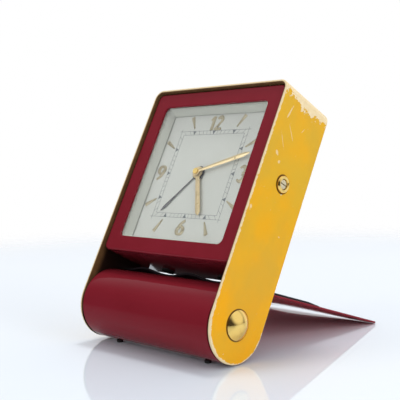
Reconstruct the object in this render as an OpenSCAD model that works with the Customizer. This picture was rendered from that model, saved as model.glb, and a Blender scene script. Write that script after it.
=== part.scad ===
// Folding travel alarm clock: a leaning strap frame carries a square clock case,
// and a barrel-shaped cover swings under it to prop the clock up or to shut over the dial.
// The clock's own frame: x to the right, y to the back, z up along the strap's arms,
// with the cover's pivot at zero.

/* [Strap frame] */
// Width over the two arms
strap_w = 60; // [52:0.5:70]
// Depth of the band from front to back
strap_d = 23; // [20:0.1:27]
// Height from the pivot to the top face
strap_h = 75.2; // [66:0.2:86]
// Thickness of the band
strap_t = 0.9; // [0.6:0.1:1.1]
// Outer radius of the two top bends
strap_bend = 3.2; // [2.6:0.1:3.4]
// Lean of the frame from upright, in degrees
lean = 28; // [20:1:32]

/* [Cover] */
// Thickness of the cover's sheet
cover_t = 0.6; // [0.5:0.05:0.9]
// Gap between the shut plate's end and the strap's top
cover_tip_gap = 0.24; // [0.2:0.02:0.6]
// Radius of the plate's two free corners
cover_corner = 1.6; // [1.2:0.1:3]
// Thickness of each end cheek
cheek_t = 0.8; // [0.5:0.1:1.2]
// Thickness of the dark stop pad
pad_t = 0.8; // [0.4:0.1:0.9]
// Length of the pad along the plate
pad_l = 40; // [26:0.2:46]
// Distance from the pivot to the pad's front edge, along the plate
pad_start = 3; // [2:0.2:8]
// Distance from the pad's side to the cover's side
pad_side = 1.2; // [0.5:0.1:6]
// Radius of the pad's corners
pad_corner = 7; // [2:0.5:9]
// Radius of a foot under the barrel
foot_r = 1.4; // [1:0.1:2.5]
// Distance from a foot's middle to the cover's side
foot_in = 8.2; // [4:0.1:14]
// Height of the barrel above the table
foot_h = 0.6; // [0.5:0.1:1.2]

/* [Pivot studs] */
// Radius of a stud's domed head
stud_head_r = 4.65; // [3.5:0.05:5.5]
// Height of the dome
stud_head_h = 2; // [1.2:0.1:2.6]
// Radius of the stud's shank
stud_r = 1.5; // [1:0.1:2]
// Radius of the washer between arm and cheek
washer_r = 3.6; // [2.6:0.1:5]
// Nut size across corners
pivot_nut_w = 6; // [5:0.1:7]
// Nut thickness
pivot_nut_t = 1.5; // [1:0.1:2]

/* [Case] */
// How far the case's back lies inside the strap's rear edge
case_back_gap = 1; // [0.8:0.1:1.4]
// Wall of the case
case_t = 0.8; // [0.6:0.05:0.9]
// Gap between the barrel and the case's floor
case_rise = 4.1; // [3.8:0.1:4.6]
// Gap between the case's roof and the strap's top
case_top_gap = 0.3; // [0.2:0.05:0.8]
// Gap between the case and each arm
case_gap = 0.3; // [0.2:0.05:0.5]
// Gap between the case's face and the shut cover's plate
face_gap = 0.3; // [0.2:0.05:0.6]
// Width of the case's frame beside the window
frame_side = 5.4; // [5:0.1:6]
// Width of the frame above the window
frame_top = 5.2; // [4.8:0.1:6.2]
// Width of the frame below the window
frame_bottom = 5.1; // [4.8:0.1:6]
// Corner radius of the window
window_corner = 1.8; // [1:0.1:4]
// Thickness of the glass
glass_t = 0.6; // [0.4:0.05:0.8]
// Width of the band of glass and dial behind the window's edge
glass_lap = 2; // [1.4:0.1:2.3]
// Radius of a rubber buffer under the case
buffer_r = 2.2; // [1.5:0.1:3]
// Height of a buffer
buffer_h = 0.8; // [0.5:0.1:0.9]
// Distance from a buffer's middle to the case's side
buffer_in = 15.8; // [6:0.1:20]

/* [Case fixings] */
// Radius of the eyelet's flange
eyelet_r = 3; // [2.6:0.05:3.6]
// Thickness of the eyelet's flange
eyelet_t = 0.9; // [0.6:0.1:1.2]
// Radius of the eyelet's tube
eyelet_tube_r = 2.1; // [1.9:0.05:2.4]
// Radius of the eyelet's bore
eyelet_bore_r = 1.6; // [1.4:0.05:1.7]
// Radius of the case screw's shank
case_screw_r = 0.9; // [0.7:0.05:1.1]
// Width of every screw slot
slot_w = 0.35; // [0.25:0.05:0.5]

/* [Dial and hands] */
// Height of the hand arbor above the window's middle
arbor_rise = 0.6; // [0.3:0.1:0.9]
// Thickness of the dial plate
dial_t = 0.5; // [0.3:0.05:0.7]
// Depth from the case's face to the dial's face
dial_depth = 4.2; // [4:0.05:4.4]
// Height of the four applied numerals
numeral_h = 5.2; // [4:0.1:6]
// Stroke width of the numerals
numeral_stroke = 0.8; // [0.5:0.05:1]
// Thickness of the numerals and markers
applied_t = 0.2; // [0.1:0.05:0.3]
// Distance from the window's side to the ring of hour marks
ring_side = 5; // [4.6:0.1:6]
// Distance from the window's top to the ring of hour marks
ring_top = 5.2; // [4.8:0.1:6.5]
// Length of an hour marker
marker_l = 4.4; // [3:0.1:5]
// Wide end of an hour marker
marker_w = 1; // [0.6:0.05:1.4]
// Narrow end of an hour marker
marker_tip_w = 0.3; // [0.2:0.05:0.5]
// Room between the minute hand's tip and the window's side
minute_room = 1.8; // [1.5:0.1:4]
// How much shorter the hour hand is than the minute hand
hour_short = 5.4; // [4:0.1:8]
// How much shorter the alarm hand is than the minute hand
alarm_short = 3.6; // [3:0.1:8]
// Widest part of the minute and hour hands
hand_w = 1.5; // [1:0.1:2]
// Thickness of each hand
hand_t = 0.2; // [0.15:0.05:0.25]

/* [Movement] */
// Room between the movement plates and the case's walls
plate_room = 5; // [4.6:0.1:5.6]
// Thickness of the movement plates
plate_t = 1.2; // [0.8:0.1:1.3]
// Room between the rear plate and the back cover
spacer_l = 1.9; // [1.6:0.1:2.1]
// Radius of the train's arbors
arbor_r = 0.4; // [0.3:0.05:0.45]
// Radius of the pivots that run in the plates
pivot_r = 0.25; // [0.2:0.05:0.28]
// Thickness of the mainspring's steel
mainspring_t = 0.35; // [0.2:0.05:0.45]

/* [Back] */
// Thickness of the back cover
back_t = 0.8; // [0.6:0.1:1]
// How far the back cover lies inside the case's rear edge
back_inset = 1.1; // [0.9:0.1:1.4]
// Gap between a winding key's wings and the knob on the centre line
key_gap = 2.4; // [1.5:0.1:4]
// Height of a winding key's wings
key_h = 5; // [3:0.5:6]
// Gap between the two setting knobs
knob_gap = 1.8; // [1:0.1:3]
// Thickness of the setting knobs
knob_t = 2.6; // [1.5:0.1:3.5]

/* [Hidden] */

// Facets of a full circle
$fn = 64;
// Facets of small pins
small_fn = 32;
// Overrun of every cut past the face it opens
cut = 1;
// Clearance of a shaft in its hole
run = 0.05;
// Clearance between flat parts that move past each other
side = 0.1;
// Clearance between a free edge and what it passes
pass = 0.3;

// Strap and cover
arm_r = strap_d / 2;
arm_in = strap_w / 2 - strap_t;
cover_r = arm_r - side;
cover_in_r = cover_r - cover_t;
cover_x = arm_in - 4 * side;
pivot_z = cover_r + foot_h;
// The plate fills the strap when shut; open, it slopes down until its end meets the table
cover_l = strap_h - strap_t - cover_tip_gap;
cover_slope = atan(cover_in_r / cover_l) + asin(pivot_z / norm([cover_l, cover_in_r]));
pad_w = 2 * (cover_x - pad_side);
foot_gap = 2 * (cover_x - foot_in);
barrel_turn = 180 + 2 * cover_slope;
foot_turn = 14;
foot_sunk = foot_r / 2;
// Middle of the footprint, so that the origin lies under the middle of the whole clock
tip_y = cover_in_r * sin(cover_slope) + cover_l * cos(cover_slope) + cover_t * sin(cover_slope);
y_mid = (tip_y - arm_r) / 2;

// Case: y runs from the face to the back
face_y = -(cover_in_r - face_gap);
case_w = 2 * (arm_in - case_gap);
// The case's corners follow the strap's inner bends
case_corner = strap_bend - strap_t - case_gap;
case_z = cover_r + case_rise;
case_h = strap_h - strap_t - case_top_gap - case_z;
buffer_gap = case_w - 2 * buffer_in;
window_w = case_w - 2 * frame_side;
window_h = case_h - frame_top - frame_bottom;
window_z = case_z + frame_bottom + window_h / 2;
arbor_z = window_z + arbor_rise;
hour_ring_x = window_w / 2 - ring_side;
hour_ring_z = window_h / 2 - ring_top;
minute_l = min(window_w, window_h) / 2 - minute_room;
hour_l = minute_l - hour_short;
alarm_l = minute_l - alarm_short;
case_d = arm_r - face_y - case_back_gap;
rear_y = face_y + case_d;
lip_y = face_y + case_t;
dial_y = face_y + dial_depth;
glass_y = lip_y + glass_t;
dial_back_y = dial_y + dial_t;
back_out_y = rear_y - back_inset;
back_in_y = back_out_y - back_t;
ledge_w = 2.6;
ledge_t = 0.8;
back_screw_r = 0.6;
back_screw_in = 6.45;
back_screw_up = case_h / 2 - back_screw_in;
case_mid_z = case_z + case_h / 2;
eyelet_drop = 0.3;
eyelet_z = arbor_z - eyelet_drop;

// Movement layers, front to back
motion_room = 2.1;
front_y = dial_back_y + motion_room;
inner_y = front_y + plate_t;
plate_gap = back_in_y - spacer_l - plate_t - inner_y;
rear_in_y = inner_y + plate_gap;
rear_out_y = rear_in_y + plate_t;
plate_mid_z = -arbor_rise;
plate_w = min(case_w, case_h) - 2 * (case_t + plate_room);

// Hand stack on the centre line
hand_arbor_r = 0.45;
cannon_r = 0.8;
hour_pipe_in = cannon_r + run;
hour_pipe_r = 1.2;
alarm_pipe_in = hour_pipe_r + run;
alarm_pipe_r = 1.7;
alarm_hand_gap = 0.5;
hour_hand_gap = 0.6;
minute_hand_gap = 0.65;
alarm_hand_y = dial_y - alarm_hand_gap;
hour_hand_y = alarm_hand_y - hour_hand_gap;
minute_hand_y = hour_hand_y - minute_hand_gap;
hand_nut_h = 0.5;
hand_nut_r = 1;
// Shown time 5:12 and alarm time 7:22, clockwise from 12, in degrees
minute_turn = 72;
hour_turn = 156;
alarm_turn = 221;

// Thickness of the wheels as a share of the room between the plates
wheel_t_share = 0.4 / 7.5;
wheel_t = wheel_t_share * plate_gap;
gong_t = 2 * wheel_t;
gong_w = 7.5 * wheel_t;
gong_gap = case_t + 4 * side;
gong_x = case_w / 2 - case_t - gong_gap;

// Motion work
cannon_n = 12;
minute_wheel_n = 36;
minute_pinion_n = 10;
hour_wheel_n = 40;
cannon_share = 0.3 / 46;
cannon_m = cannon_share * plate_w;
motion_d = cannon_m * (cannon_n + minute_wheel_n) / 2;
hour_m = 2 * motion_d / (minute_pinion_n + hour_wheel_n);
motion_turn = 60;
minute_wheel_at = motion_d * [cos(motion_turn), sin(motion_turn)];
motion_stud_r = 0.6;
alarm_wheel_n = 60;
alarm_pinion_n = 12;
alarm_share = 0.25 / 46;
alarm_m = alarm_share * plate_w;
alarm_set_d = alarm_m * (alarm_wheel_n + alarm_pinion_n) / 2;
alarm_set_turn = -91.5;
alarm_set_at = alarm_set_d * [cos(alarm_set_turn), sin(alarm_set_turn)];
motion_wheel_t = motion_room / 6;
motion_leaf_share = 0.4 / 2.1;
motion_leaf_t = motion_leaf_share * motion_room;
cannon_leaf_y = front_y - side - motion_leaf_t - side;
minute_pinion_y = cannon_leaf_y - motion_leaf_t - side;
alarm_wheel_y = dial_back_y + motion_leaf_t;

// Going train
centre_n = 64;
third_n = 60;
fourth_n = 64;
pinion_n = 8;
centre_pinion_n = 12;
great_n = 72;
// Modules of the wheels as shares of the plates' width: great, centre, third and fourth wheel
module_shares = [0.32 / 46, 0.25 / 46, 0.22 / 46, 0.2 / 46];
great_m = module_shares[0] * plate_w;
centre_m = module_shares[1] * plate_w;
third_m = module_shares[2] * plate_w;
fourth_m = module_shares[3] * plate_w;
great_d = great_m * (great_n + centre_pinion_n) / 2;
third_d = centre_m * (centre_n + pinion_n) / 2;
fourth_d = third_m * (third_n + pinion_n) / 2;
escape_d = fourth_m * (fourth_n + pinion_n) / 2;
great_turn = 202;
third_turn = 110;
fourth_turn = 20;
escape_turn = -10;
great_at = great_d * [cos(great_turn), sin(great_turn)];
third_at = third_d * [cos(third_turn), sin(third_turn)];
fourth_at = third_at + fourth_d * [cos(fourth_turn), sin(fourth_turn)];
escape_at = fourth_at + escape_d * [cos(escape_turn), sin(escape_turn)];
escape_n = 15;
escape_share = 3.2 / 46;
escape_r = escape_share * plate_w;
lever_turn = 75;
pallet_share = 1 / 46;
pallet_room = pallet_share * plate_w;
lever_d = escape_r + pallet_room;
lever_at = escape_at + lever_d * [cos(lever_turn), sin(lever_turn)];
balance_shares = [4.6 / 46, 6.2 / 46];
balance_r = balance_shares[0] * plate_w;
balance_d = balance_shares[1] * plate_w;
balance_turn = 0;
balance_at = lever_at + balance_d * [cos(balance_turn), sin(balance_turn)];

// Alarm train
alarm_great_shares = [0.915, -0.64];
alarm_great_at = alarm_great_shares * great_d;
alarm_escape_n = 8;
alarm_escape_d = great_m * (great_n + alarm_escape_n) / 2;
alarm_escape_turn = 50;
alarm_escape_at = alarm_great_at + alarm_escape_d * [cos(alarm_escape_turn), sin(alarm_escape_turn)];
alarm_tooth_n = 18;
alarm_tooth_share = 2.6 / 46;
alarm_tooth_r = alarm_tooth_share * plate_w;
hammer_turn = 100;
verge_share = 1.5 / 46;
verge_room = verge_share * plate_w;
hammer_d = alarm_tooth_r + verge_room;
hammer_at = alarm_escape_at + hammer_d * [cos(hammer_turn), sin(hammer_turn)];

// Layers between the plates, as shares of their room, from the front plate's inner face:
// centre, fourth, third, escape and great wheel, mainspring, balance, hairspring and alarm teeth
layer_shares = [0.5, 2.4, 4.4, 5.5, 6, 1.4, 3.6, 6.9, 3] / 7.5;
centre_layer = layer_shares[0] * plate_gap;
fourth_layer = layer_shares[1] * plate_gap;
third_layer = layer_shares[2] * plate_gap;
escape_layer = layer_shares[3] * plate_gap;
great_layer = layer_shares[4] * plate_gap;
spring_layer = layer_shares[5] * plate_gap;
balance_layer = layer_shares[6] * plate_gap;
hairspring_layer = layer_shares[7] * plate_gap;
alarm_tooth_layer = layer_shares[8] * plate_gap;
great_t_share = 0.7 / 7.5;
great_t = great_t_share * plate_gap;
leaf_extra = wheel_t / 2;
mainspring_h = great_layer - spring_layer - 2 * side;
spring_turns = 4;
// Radii of the winding arbor, its core, its ratchet and the mainspring round it
winding_shares = [1.4 / 46, 2.2 / 46, 4 / 46, 9 / 46];
winding_r = winding_shares[0] * plate_w;
winding_core_r = winding_shares[1] * plate_w;
ratchet_r = winding_shares[2] * plate_w;
mainspring_r = winding_shares[3] * plate_w;
ratchet_n = 18;
// Keys and knobs on the back: the knobs share the line to the alarm's setting arbor
knob_r = (alarm_set_d - knob_gap) / 2;
key_w = 2 * (min(abs(great_at[0]), abs(alarm_great_at[0])) - knob_r - key_gap);

// Places a piece built in the strap's frame: origin at the pivot, z up along the arms
module on_frame() {
    translate([0, -y_mid, pivot_z]) rotate([-lean, 0, 0]) children();
}
// The same, with z measured from the hand arbor
module on_arbor() {
    on_frame() translate([0, 0, arbor_z]) children();
}
// Places a piece built in the open cover's frame: y down along the plate, z out of its top face
module on_cover() {
    translate([0, -y_mid, pivot_z]) rotate([-cover_slope, 0, 0]) children();
}
// Slab from y0 to y1 of an outline seen from the front
module slab(y0, y1) {
    translate([0, y1, 0]) rotate([90, 0, 0]) linear_extrude(height = y1 - y0) children();
}
// Round bar along y
module bar(r, y0, y1, at = [0, 0]) {
    translate([at[0], y0, at[1]]) rotate([-90, 0, 0]) cylinder(r = r, h = y1 - y0);
}
// Round bar along x
module cross_bar(r, x0, x1) {
    translate([x0, 0, 0]) rotate([0, 90, 0]) cylinder(r = r, h = x1 - x0);
}
module pipe(r_out, r_in, y0, y1) {
    difference() {
        bar(r_out, y0, y1);
        bar(r_in, y0 - cut, y1 + cut);
    }
}
module both_sides() {
    children();
    mirror([1, 0, 0]) children();
}
// Rectangle about its middle with round corners
module round_rect(w, h, r) {
    union() {
        square([w - 2 * r, h], center = true);
        square([w, h - 2 * r], center = true);
        for (sx = [-1, 1], sz = [-1, 1]) translate([sx * (w / 2 - r), sz * (h / 2 - r)])
            circle(r = r, $fn = small_fn);
    }
}

// Teeth of wheels and pinions, as shares of the module and of the tooth pitch
wheel_tooth_shares = [0.75, 1.15, 0.4, 0.2];
pinion_tooth_shares = [0.6, 1.25, 0.3, 0.16];
function polar(r, a) = [r * cos(a), r * sin(a)];
// Tooth outline: root, pitch circle and tip of each tooth in turn
function toothed(n, m, shares, turn) = [
    for (i = [0 : n - 1], k = [0 : 5])
        let (a = turn + i * 360 / n, pitch = 360 / n,
            tip = m * (n / 2 + shares[0]), root = m * (n / 2 - shares[1]),
            r = [root, m * n / 2, tip, tip, m * n / 2, root][k],
            w = [-shares[2] * 0.6, -shares[2] * 0.5, -shares[3] * 0.5, shares[3] * 0.5,
                shares[2] * 0.5, shares[2] * 0.6][k])
        polar(r, a + w * pitch)];
module wheel_outline(n, m, turn, spokes, hub, hole) {
    rim = m * (n / 2 - wheel_tooth_shares[1]) - 3 * m;
    difference() {
        polygon(toothed(n, m, wheel_tooth_shares, turn));
        if (spokes > 0) difference() {
            circle(r = rim);
            circle(r = hub);
            for (i = [0 : spokes - 1]) rotate(i * 360 / spokes) translate([0, -hub / 3])
                square([rim + cut, 2 * hub / 3]);
        }
        circle(r = hole, $fn = small_fn);
    }
}
module pinion_outline(n, m, turn) {
    polygon(toothed(n, m, pinion_tooth_shares, turn));
}
// Turn of a driven wheel that puts a gap where the driver's tooth is, on a line at angle to
function gap_turn(to, n) = to + 180 + 180 / n;
// Saw teeth of a ratchet or an escape wheel, leaning one way
module saw_outline(n, r, depth) {
    polygon([for (i = [0 : n - 1], k = [0 : 1])
        polar(k == 0 ? r : r - depth, (i + (k == 0 ? 0 : 0.12)) * 360 / n)]);
}
// Arbor with its two pivots running in the plates
module arbor(at, y0 = inner_y, y1 = rear_in_y) {
    bar(arbor_r, y0 + side, y1 - side, at);
    bar(pivot_r, y0 - plate_t, y1 + plate_t, at, $fn = small_fn);
}
// Flat spiral strip of steady pitch
module spiral(r0, r1, t, turns, steps) {
    n = turns * steps;
    function rad(i) = r0 + (r1 - r0 - t) * i / n;
    polygon(concat([for (i = [0 : n]) polar(rad(i), i * 360 / steps)],
        [for (i = [n : -1 : 0]) polar(rad(i) + t, i * 360 / steps)]));
}
module at(p) {
    translate([p[0], 0, p[1]]) children();
}

// Strap frame and its studs
module strap_frame() {
    top_in = strap_h - strap_t;
    color("goldenrod") on_frame() difference() {
        intersection() {
            slab(-arm_r, arm_r) difference() {
                union() {
                    translate([-strap_w / 2, -arm_r]) square([strap_w, strap_h + arm_r - strap_bend]);
                    translate([-strap_w / 2 + strap_bend, -arm_r])
                        square([strap_w - 2 * strap_bend, strap_h + arm_r]);
                    for (s = [-1, 1]) translate([s * (strap_w / 2 - strap_bend), strap_h - strap_bend])
                        circle(r = strap_bend);
                }
                union() {
                    translate([-arm_in, -arm_r - cut])
                        square([2 * arm_in, top_in + arm_r + cut - strap_bend + strap_t]);
                    translate([-strap_w / 2 + strap_bend, -arm_r - cut])
                        square([strap_w - 2 * strap_bend, top_in + arm_r + cut]);
                    for (s = [-1, 1]) translate([s * (strap_w / 2 - strap_bend), strap_h - strap_bend])
                        circle(r = strap_bend - strap_t);
                }
            }
            union() {
                cross_bar(arm_r, -strap_w, strap_w, $fn = 96);
                translate([-strap_w, -arm_r, 0]) cube([2 * strap_w, strap_d, strap_h + cut]);
            }
        }
        cross_bar(stud_r, -strap_w, strap_w);
        translate([0, 0, eyelet_z]) cross_bar(eyelet_tube_r, -strap_w, strap_w);
    }
}
module pivot_studs() {
    dome_r = (stud_head_r * stud_head_r + stud_head_h * stud_head_h) / (2 * stud_head_h);
    shank_in = cover_x - cheek_t - pivot_nut_t - 3 * side;
    color("gold") on_frame() both_sides() union() {
        cross_bar(stud_r, shank_in, strap_w / 2 + side);
        translate([strap_w / 2, 0, 0]) rotate([0, 90, 0]) rotate_extrude($fn = 96) intersection() {
            translate([0, stud_head_h - dome_r]) circle(r = dome_r, $fn = 96);
            square([stud_head_r, stud_head_h + cut]);
        }
    }
}
module pivot_washers() {
    color("silver") on_frame() both_sides() difference() {
        cross_bar(washer_r, cover_x + side, arm_in);
        cross_bar(stud_r, cover_x - cut, arm_in + cut);
    }
}
module pivot_nuts() {
    x1 = cover_x - cheek_t - side;
    color("silver") on_frame() both_sides() difference() {
        cross_bar(pivot_nut_w / 2, x1 - pivot_nut_t, x1, $fn = 6);
        cross_bar(stud_r, x1 - pivot_nut_t - cut, x1 + cut);
    }
}

// Cover
module cover_shell() {
    color("firebrick") on_cover() difference() {
        union() {
            intersection() {
                difference() {
                    cross_bar(cover_r, -cover_x, cover_x, $fn = 96);
                    cross_bar(cover_in_r, -cover_x - cut, cover_x + cut, $fn = 96);
                }
                union() {
                    translate([-cover_x - cut, -cover_r - cut, -cover_r - cut])
                        cube([2 * (cover_x + cut), cover_r + cut, 2 * (cover_r + cut)]);
                    rotate([barrel_turn - 180, 0, 0])
                        translate([-cover_x - cut, -cover_r - cut, -cover_r - cut])
                        cube([2 * (cover_x + cut), cover_r + cut, cover_r + cut]);
                }
            }
            translate([-cover_x, 0, cover_in_r]) cube([2 * cover_x, cover_l, cover_t]);
        }
        both_sides() translate([cover_x - cover_corner, cover_l - cover_corner, cover_in_r - cut])
            difference() {
            cube([cover_corner + cut, cover_corner + cut, cover_t + 2 * cut]);
            cylinder(r = cover_corner, h = cover_t + 2 * cut);
        }
    }
}
module cover_cheeks() {
    color("firebrick") on_cover() both_sides() difference() {
        cross_bar(cover_in_r, cover_x - cheek_t, cover_x, $fn = 96);
        cross_bar(stud_r + run, cover_x - cheek_t - cut, cover_x + cut);
    }
}
module cover_stop_pad() {
    color("dimgray") on_cover() translate([0, pad_start + pad_l / 2, cover_r])
        linear_extrude(height = pad_t) round_rect(pad_w, pad_l, pad_corner);
}
module cover_feet() {
    color("black") translate([0, -y_mid, 0]) difference() {
        both_sides() translate([foot_gap / 2, -pivot_z * sin(foot_turn), 0])
            cylinder(r = foot_r, h = foot_h + foot_sunk);
        translate([0, 0, pivot_z]) cross_bar(cover_r, -strap_w, strap_w, $fn = 96);
    }
}

// Case
module case_outline(grow = 0) {
    translate([0, case_mid_z])
        round_rect(case_w + 2 * grow, case_h + 2 * grow, max(case_corner + grow, case_t / 4));
}
module case_shell() {
    color("firebrick") on_frame() difference() {
        slab(face_y, rear_y) case_outline();
        slab(lip_y, back_in_y - ledge_t) case_outline(-case_t);
        slab(back_in_y - ledge_t - cut, back_in_y + cut) case_outline(-case_t - ledge_w);
        slab(back_in_y, rear_y + cut) case_outline(-case_t);
        slab(face_y - cut, lip_y + cut) translate([0, window_z])
            round_rect(window_w, window_h, window_corner);
        translate([0, 0, eyelet_z]) cross_bar(case_screw_r, -strap_w, strap_w);
        at_cover_screws() bar(back_screw_r, back_in_y - ledge_t - cut, back_in_y + cut, $fn = small_fn);
    }
}
module case_eyelets() {
    floor_x = case_w / 2 + case_gap;
    color("gold") on_frame() translate([0, 0, eyelet_z]) both_sides() difference() {
        union() {
            cross_bar(eyelet_r, strap_w / 2, strap_w / 2 + eyelet_t);
            cross_bar(eyelet_tube_r, case_w / 2, strap_w / 2 + side);
        }
        cross_bar(eyelet_bore_r, floor_x, strap_w);
        cross_bar(case_screw_r, case_w / 2 - cut, strap_w);
    }
}
module case_screws() {
    head_x = case_w / 2 + case_gap;
    head_h = strap_t;
    color("darkgoldenrod") on_frame() translate([0, 0, eyelet_z]) both_sides() difference() {
        union() {
            cross_bar(case_screw_r, case_w / 2 - 2 * case_t, head_x + side);
            cross_bar(eyelet_bore_r - run, head_x, head_x + head_h);
        }
        translate([head_x + head_h / 2, -eyelet_r, -slot_w / 2]) cube([head_h, 2 * eyelet_r, slot_w]);
    }
}
module case_buffers() {
    color("black") on_frame() both_sides()
        translate([buffer_gap / 2, rear_y - 2 * buffer_r, case_z - buffer_h])
        cylinder(r = buffer_r, h = buffer_h);
}
module glass() {
    color("lightcyan") on_frame() slab(lip_y, glass_y) translate([0, window_z])
        round_rect(window_w + 2 * glass_lap, window_h + 2 * glass_lap, window_corner);
}
module dial_surround() {
    color("lightgray") on_frame() slab(glass_y, dial_y) translate([0, window_z]) difference() {
        round_rect(window_w + 2 * glass_lap, window_h + 2 * glass_lap, window_corner);
        round_rect(window_w - 2 * pass, window_h - 2 * pass, window_corner);
    }
}
dial_foot_share = 0.42;
module dial_plate() {
    color("gainsboro") difference() {
        union() {
            on_frame() slab(dial_y, dial_back_y) translate([0, window_z])
                round_rect(window_w + 2 * glass_lap, window_h + 2 * glass_lap, window_corner);
            on_arbor() for (s = [-1, 1])
                bar(pillar_r / 2, dial_back_y, front_y, s * dial_foot_share * plate_w * [1, 1],
                    $fn = small_fn);
        }
        on_arbor() bar(alarm_pipe_r + run, dial_y - cut, dial_back_y + cut);
    }
}

// Digits drawn with a pen of width t, with the middle of each digit at zero
function arc_path(c, r, a0, a1, steps = 14) =
    [for (i = [0 : steps]) c + polar(r, a0 + (a1 - a0) * i / steps)];
function path_normal(p, i) =
    let (d = p[min(i + 1, len(p) - 1)] - p[max(i - 1, 0)]) [-d[1], d[0]] / norm(d);
module pen(p, t) {
    n = len(p) - 1;
    polygon(concat([for (i = [0 : n]) p[i] + path_normal(p, i) * t / 2],
        [for (i = [n : -1 : 0]) p[i] - path_normal(p, i) * t / 2]));
}
module digit_one(h, t) {
    polygon([[t / 2, -h / 2], [t / 2, h / 2], [-t / 2, h / 2], [-t * 1.6, h / 2 - t * 1.2],
        [-t * 1.6, h / 2 - t * 1.9], [-t / 2, h / 2 - t], [-t / 2, -h / 2]]);
}
module digit_two(h, t) {
    r = h * 0.29;
    pen(concat(arc_path([0, h / 2 - r], r - t / 2, 165, -40), [[t * 0.6 - r, t / 2 - h / 2]]), t);
    translate([-r, -h / 2]) square([2 * r, t]);
}
module digit_three(h, t) {
    r = h * 0.26;
    pen(concat(arc_path([0, h / 2 - r], r - t / 2, 150, -60),
        arc_path([0, r - h / 2], r - t / 2, 60, -150)), t);
    translate([-r / 3, -t / 2]) square([2 * r / 3 + t / 2, t]);
}
module digit_six(h, t) {
    r = h * 0.3;
    bend = h * 0.75;
    translate([0, r - h / 2]) difference() {
        circle(r = r);
        circle(r = r - t);
    }
    pen(arc_path([bend - r + t / 2, r - h / 2], bend, 178, 116, 8), t * 0.9);
}
module hour_numerals() {
    t = numeral_stroke;
    color("darkkhaki") on_arbor() slab(dial_y - applied_t, dial_y) {
        translate([0, hour_ring_z]) {
            translate([-numeral_h * 0.3, 0]) digit_one(numeral_h, t);
            translate([numeral_h * 0.28, 0]) digit_two(numeral_h, t);
        }
        translate([hour_ring_x, 0]) digit_three(numeral_h, t);
        translate([0, -hour_ring_z]) digit_six(numeral_h, t);
        translate([-hour_ring_x, 0]) rotate(180) digit_six(numeral_h, t);
    }
}
// Middle of hour mark h on the square ring: the ray at its angle meets the ring's side
function ring_point(h) = let (a = 90 - 30 * h, k = min(hour_ring_x / max(abs(cos(a)), 0.001),
    hour_ring_z / max(abs(sin(a)), 0.001))) polar(k, a);
module hour_markers() {
    color("darkkhaki") on_arbor() slab(dial_y - applied_t, dial_y)
        for (h = [1, 2, 4, 5, 7, 8, 10, 11]) translate(ring_point(h)) rotate(-30 * h)
            polygon([[-marker_w / 2, marker_l / 2], [marker_w / 2, marker_l / 2],
                [marker_tip_w / 2, -marker_l / 2], [-marker_tip_w / 2, -marker_l / 2]]);
}

// Hands point up before they are turned clockwise
module hand(turn, y0, hole, ring) {
    on_arbor() rotate([0, turn, 0]) slab(y0, y0 + hand_t) difference() {
        union() {
            circle(r = ring);
            children();
        }
        circle(r = hole);
    }
}
module minute_hand() {
    color("darkkhaki") hand(minute_turn, minute_hand_y, hand_arbor_r, 2 * cannon_r)
        polygon([[-hand_w / 2, 0], [-hand_w / 2, minute_l * 0.86], [0, minute_l],
            [hand_w / 2, minute_l * 0.86], [hand_w / 2, 0]]);
}
module hour_hand() {
    color("darkkhaki") hand(hour_turn, hour_hand_y, hour_pipe_r, 2 * hour_pipe_r - run)
        polygon([[-hand_w / 2, 0], [-hand_w / 2, hour_l * 0.8], [0, hour_l],
            [hand_w / 2, hour_l * 0.8], [hand_w / 2, 0]]);
}
module alarm_hand() {
    color("dimgray") hand(alarm_turn, alarm_hand_y, alarm_pipe_r, alarm_pipe_r + hand_w / 2)
        polygon([[-hand_w / 4, 0], [-hand_w / 3, alarm_l * 0.9], [0, alarm_l],
            [hand_w / 3, alarm_l * 0.9], [hand_w / 4, 0]]);
}
module hand_nut() {
    color("gold") on_arbor() difference() {
        bar(hand_nut_r, minute_hand_y - hand_nut_h, minute_hand_y);
        bar(hand_arbor_r, minute_hand_y - hand_nut_h / 2, minute_hand_y + cut);
    }
}
module hand_arbor() {
    color("silver") on_arbor() bar(hand_arbor_r, minute_hand_y - hand_nut_h / 2, knob_y);
}
module cannon_pinion() {
    color("silver") on_arbor() difference() {
        union() {
            bar(cannon_r, minute_hand_y + hand_t, front_y - side);
            slab(cannon_leaf_y, cannon_leaf_y + motion_leaf_t)
                pinion_outline(cannon_n, cannon_m, motion_turn + 180 / cannon_n);
        }
        bar(hand_arbor_r, minute_hand_y, front_y);
    }
}
module hour_wheel() {
    color("khaki") on_arbor() difference() {
        union() {
            bar(hour_pipe_r, hour_hand_y, minute_pinion_y + motion_leaf_t);
            slab(minute_pinion_y, minute_pinion_y + motion_wheel_t)
                wheel_outline(hour_wheel_n, hour_m, motion_turn, 0, hour_pipe_r, hour_pipe_in);
        }
        bar(hour_pipe_in, hour_hand_y - cut, front_y);
    }
}
module minute_wheel() {
    color("khaki") on_arbor() at(minute_wheel_at) difference() {
        union() {
            slab(cannon_leaf_y, cannon_leaf_y + motion_wheel_t)
                wheel_outline(minute_wheel_n, cannon_m, motion_turn + 180, 0, motion_stud_r,
                    motion_stud_r + run);
            slab(minute_pinion_y - side, cannon_leaf_y)
                pinion_outline(minute_pinion_n, hour_m, gap_turn(motion_turn, minute_pinion_n));
        }
        bar(motion_stud_r + run, alarm_wheel_y, front_y);
    }
}
module alarm_wheel() {
    color("khaki") on_arbor() difference() {
        union() {
            bar(alarm_pipe_r, alarm_hand_y, alarm_wheel_y + motion_leaf_t);
            slab(alarm_wheel_y, alarm_wheel_y + motion_wheel_t)
                wheel_outline(alarm_wheel_n, alarm_m, alarm_set_turn, 4, 2 * alarm_pipe_r, alarm_pipe_in);
        }
        bar(alarm_pipe_in, alarm_hand_y - cut, front_y);
    }
}

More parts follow.
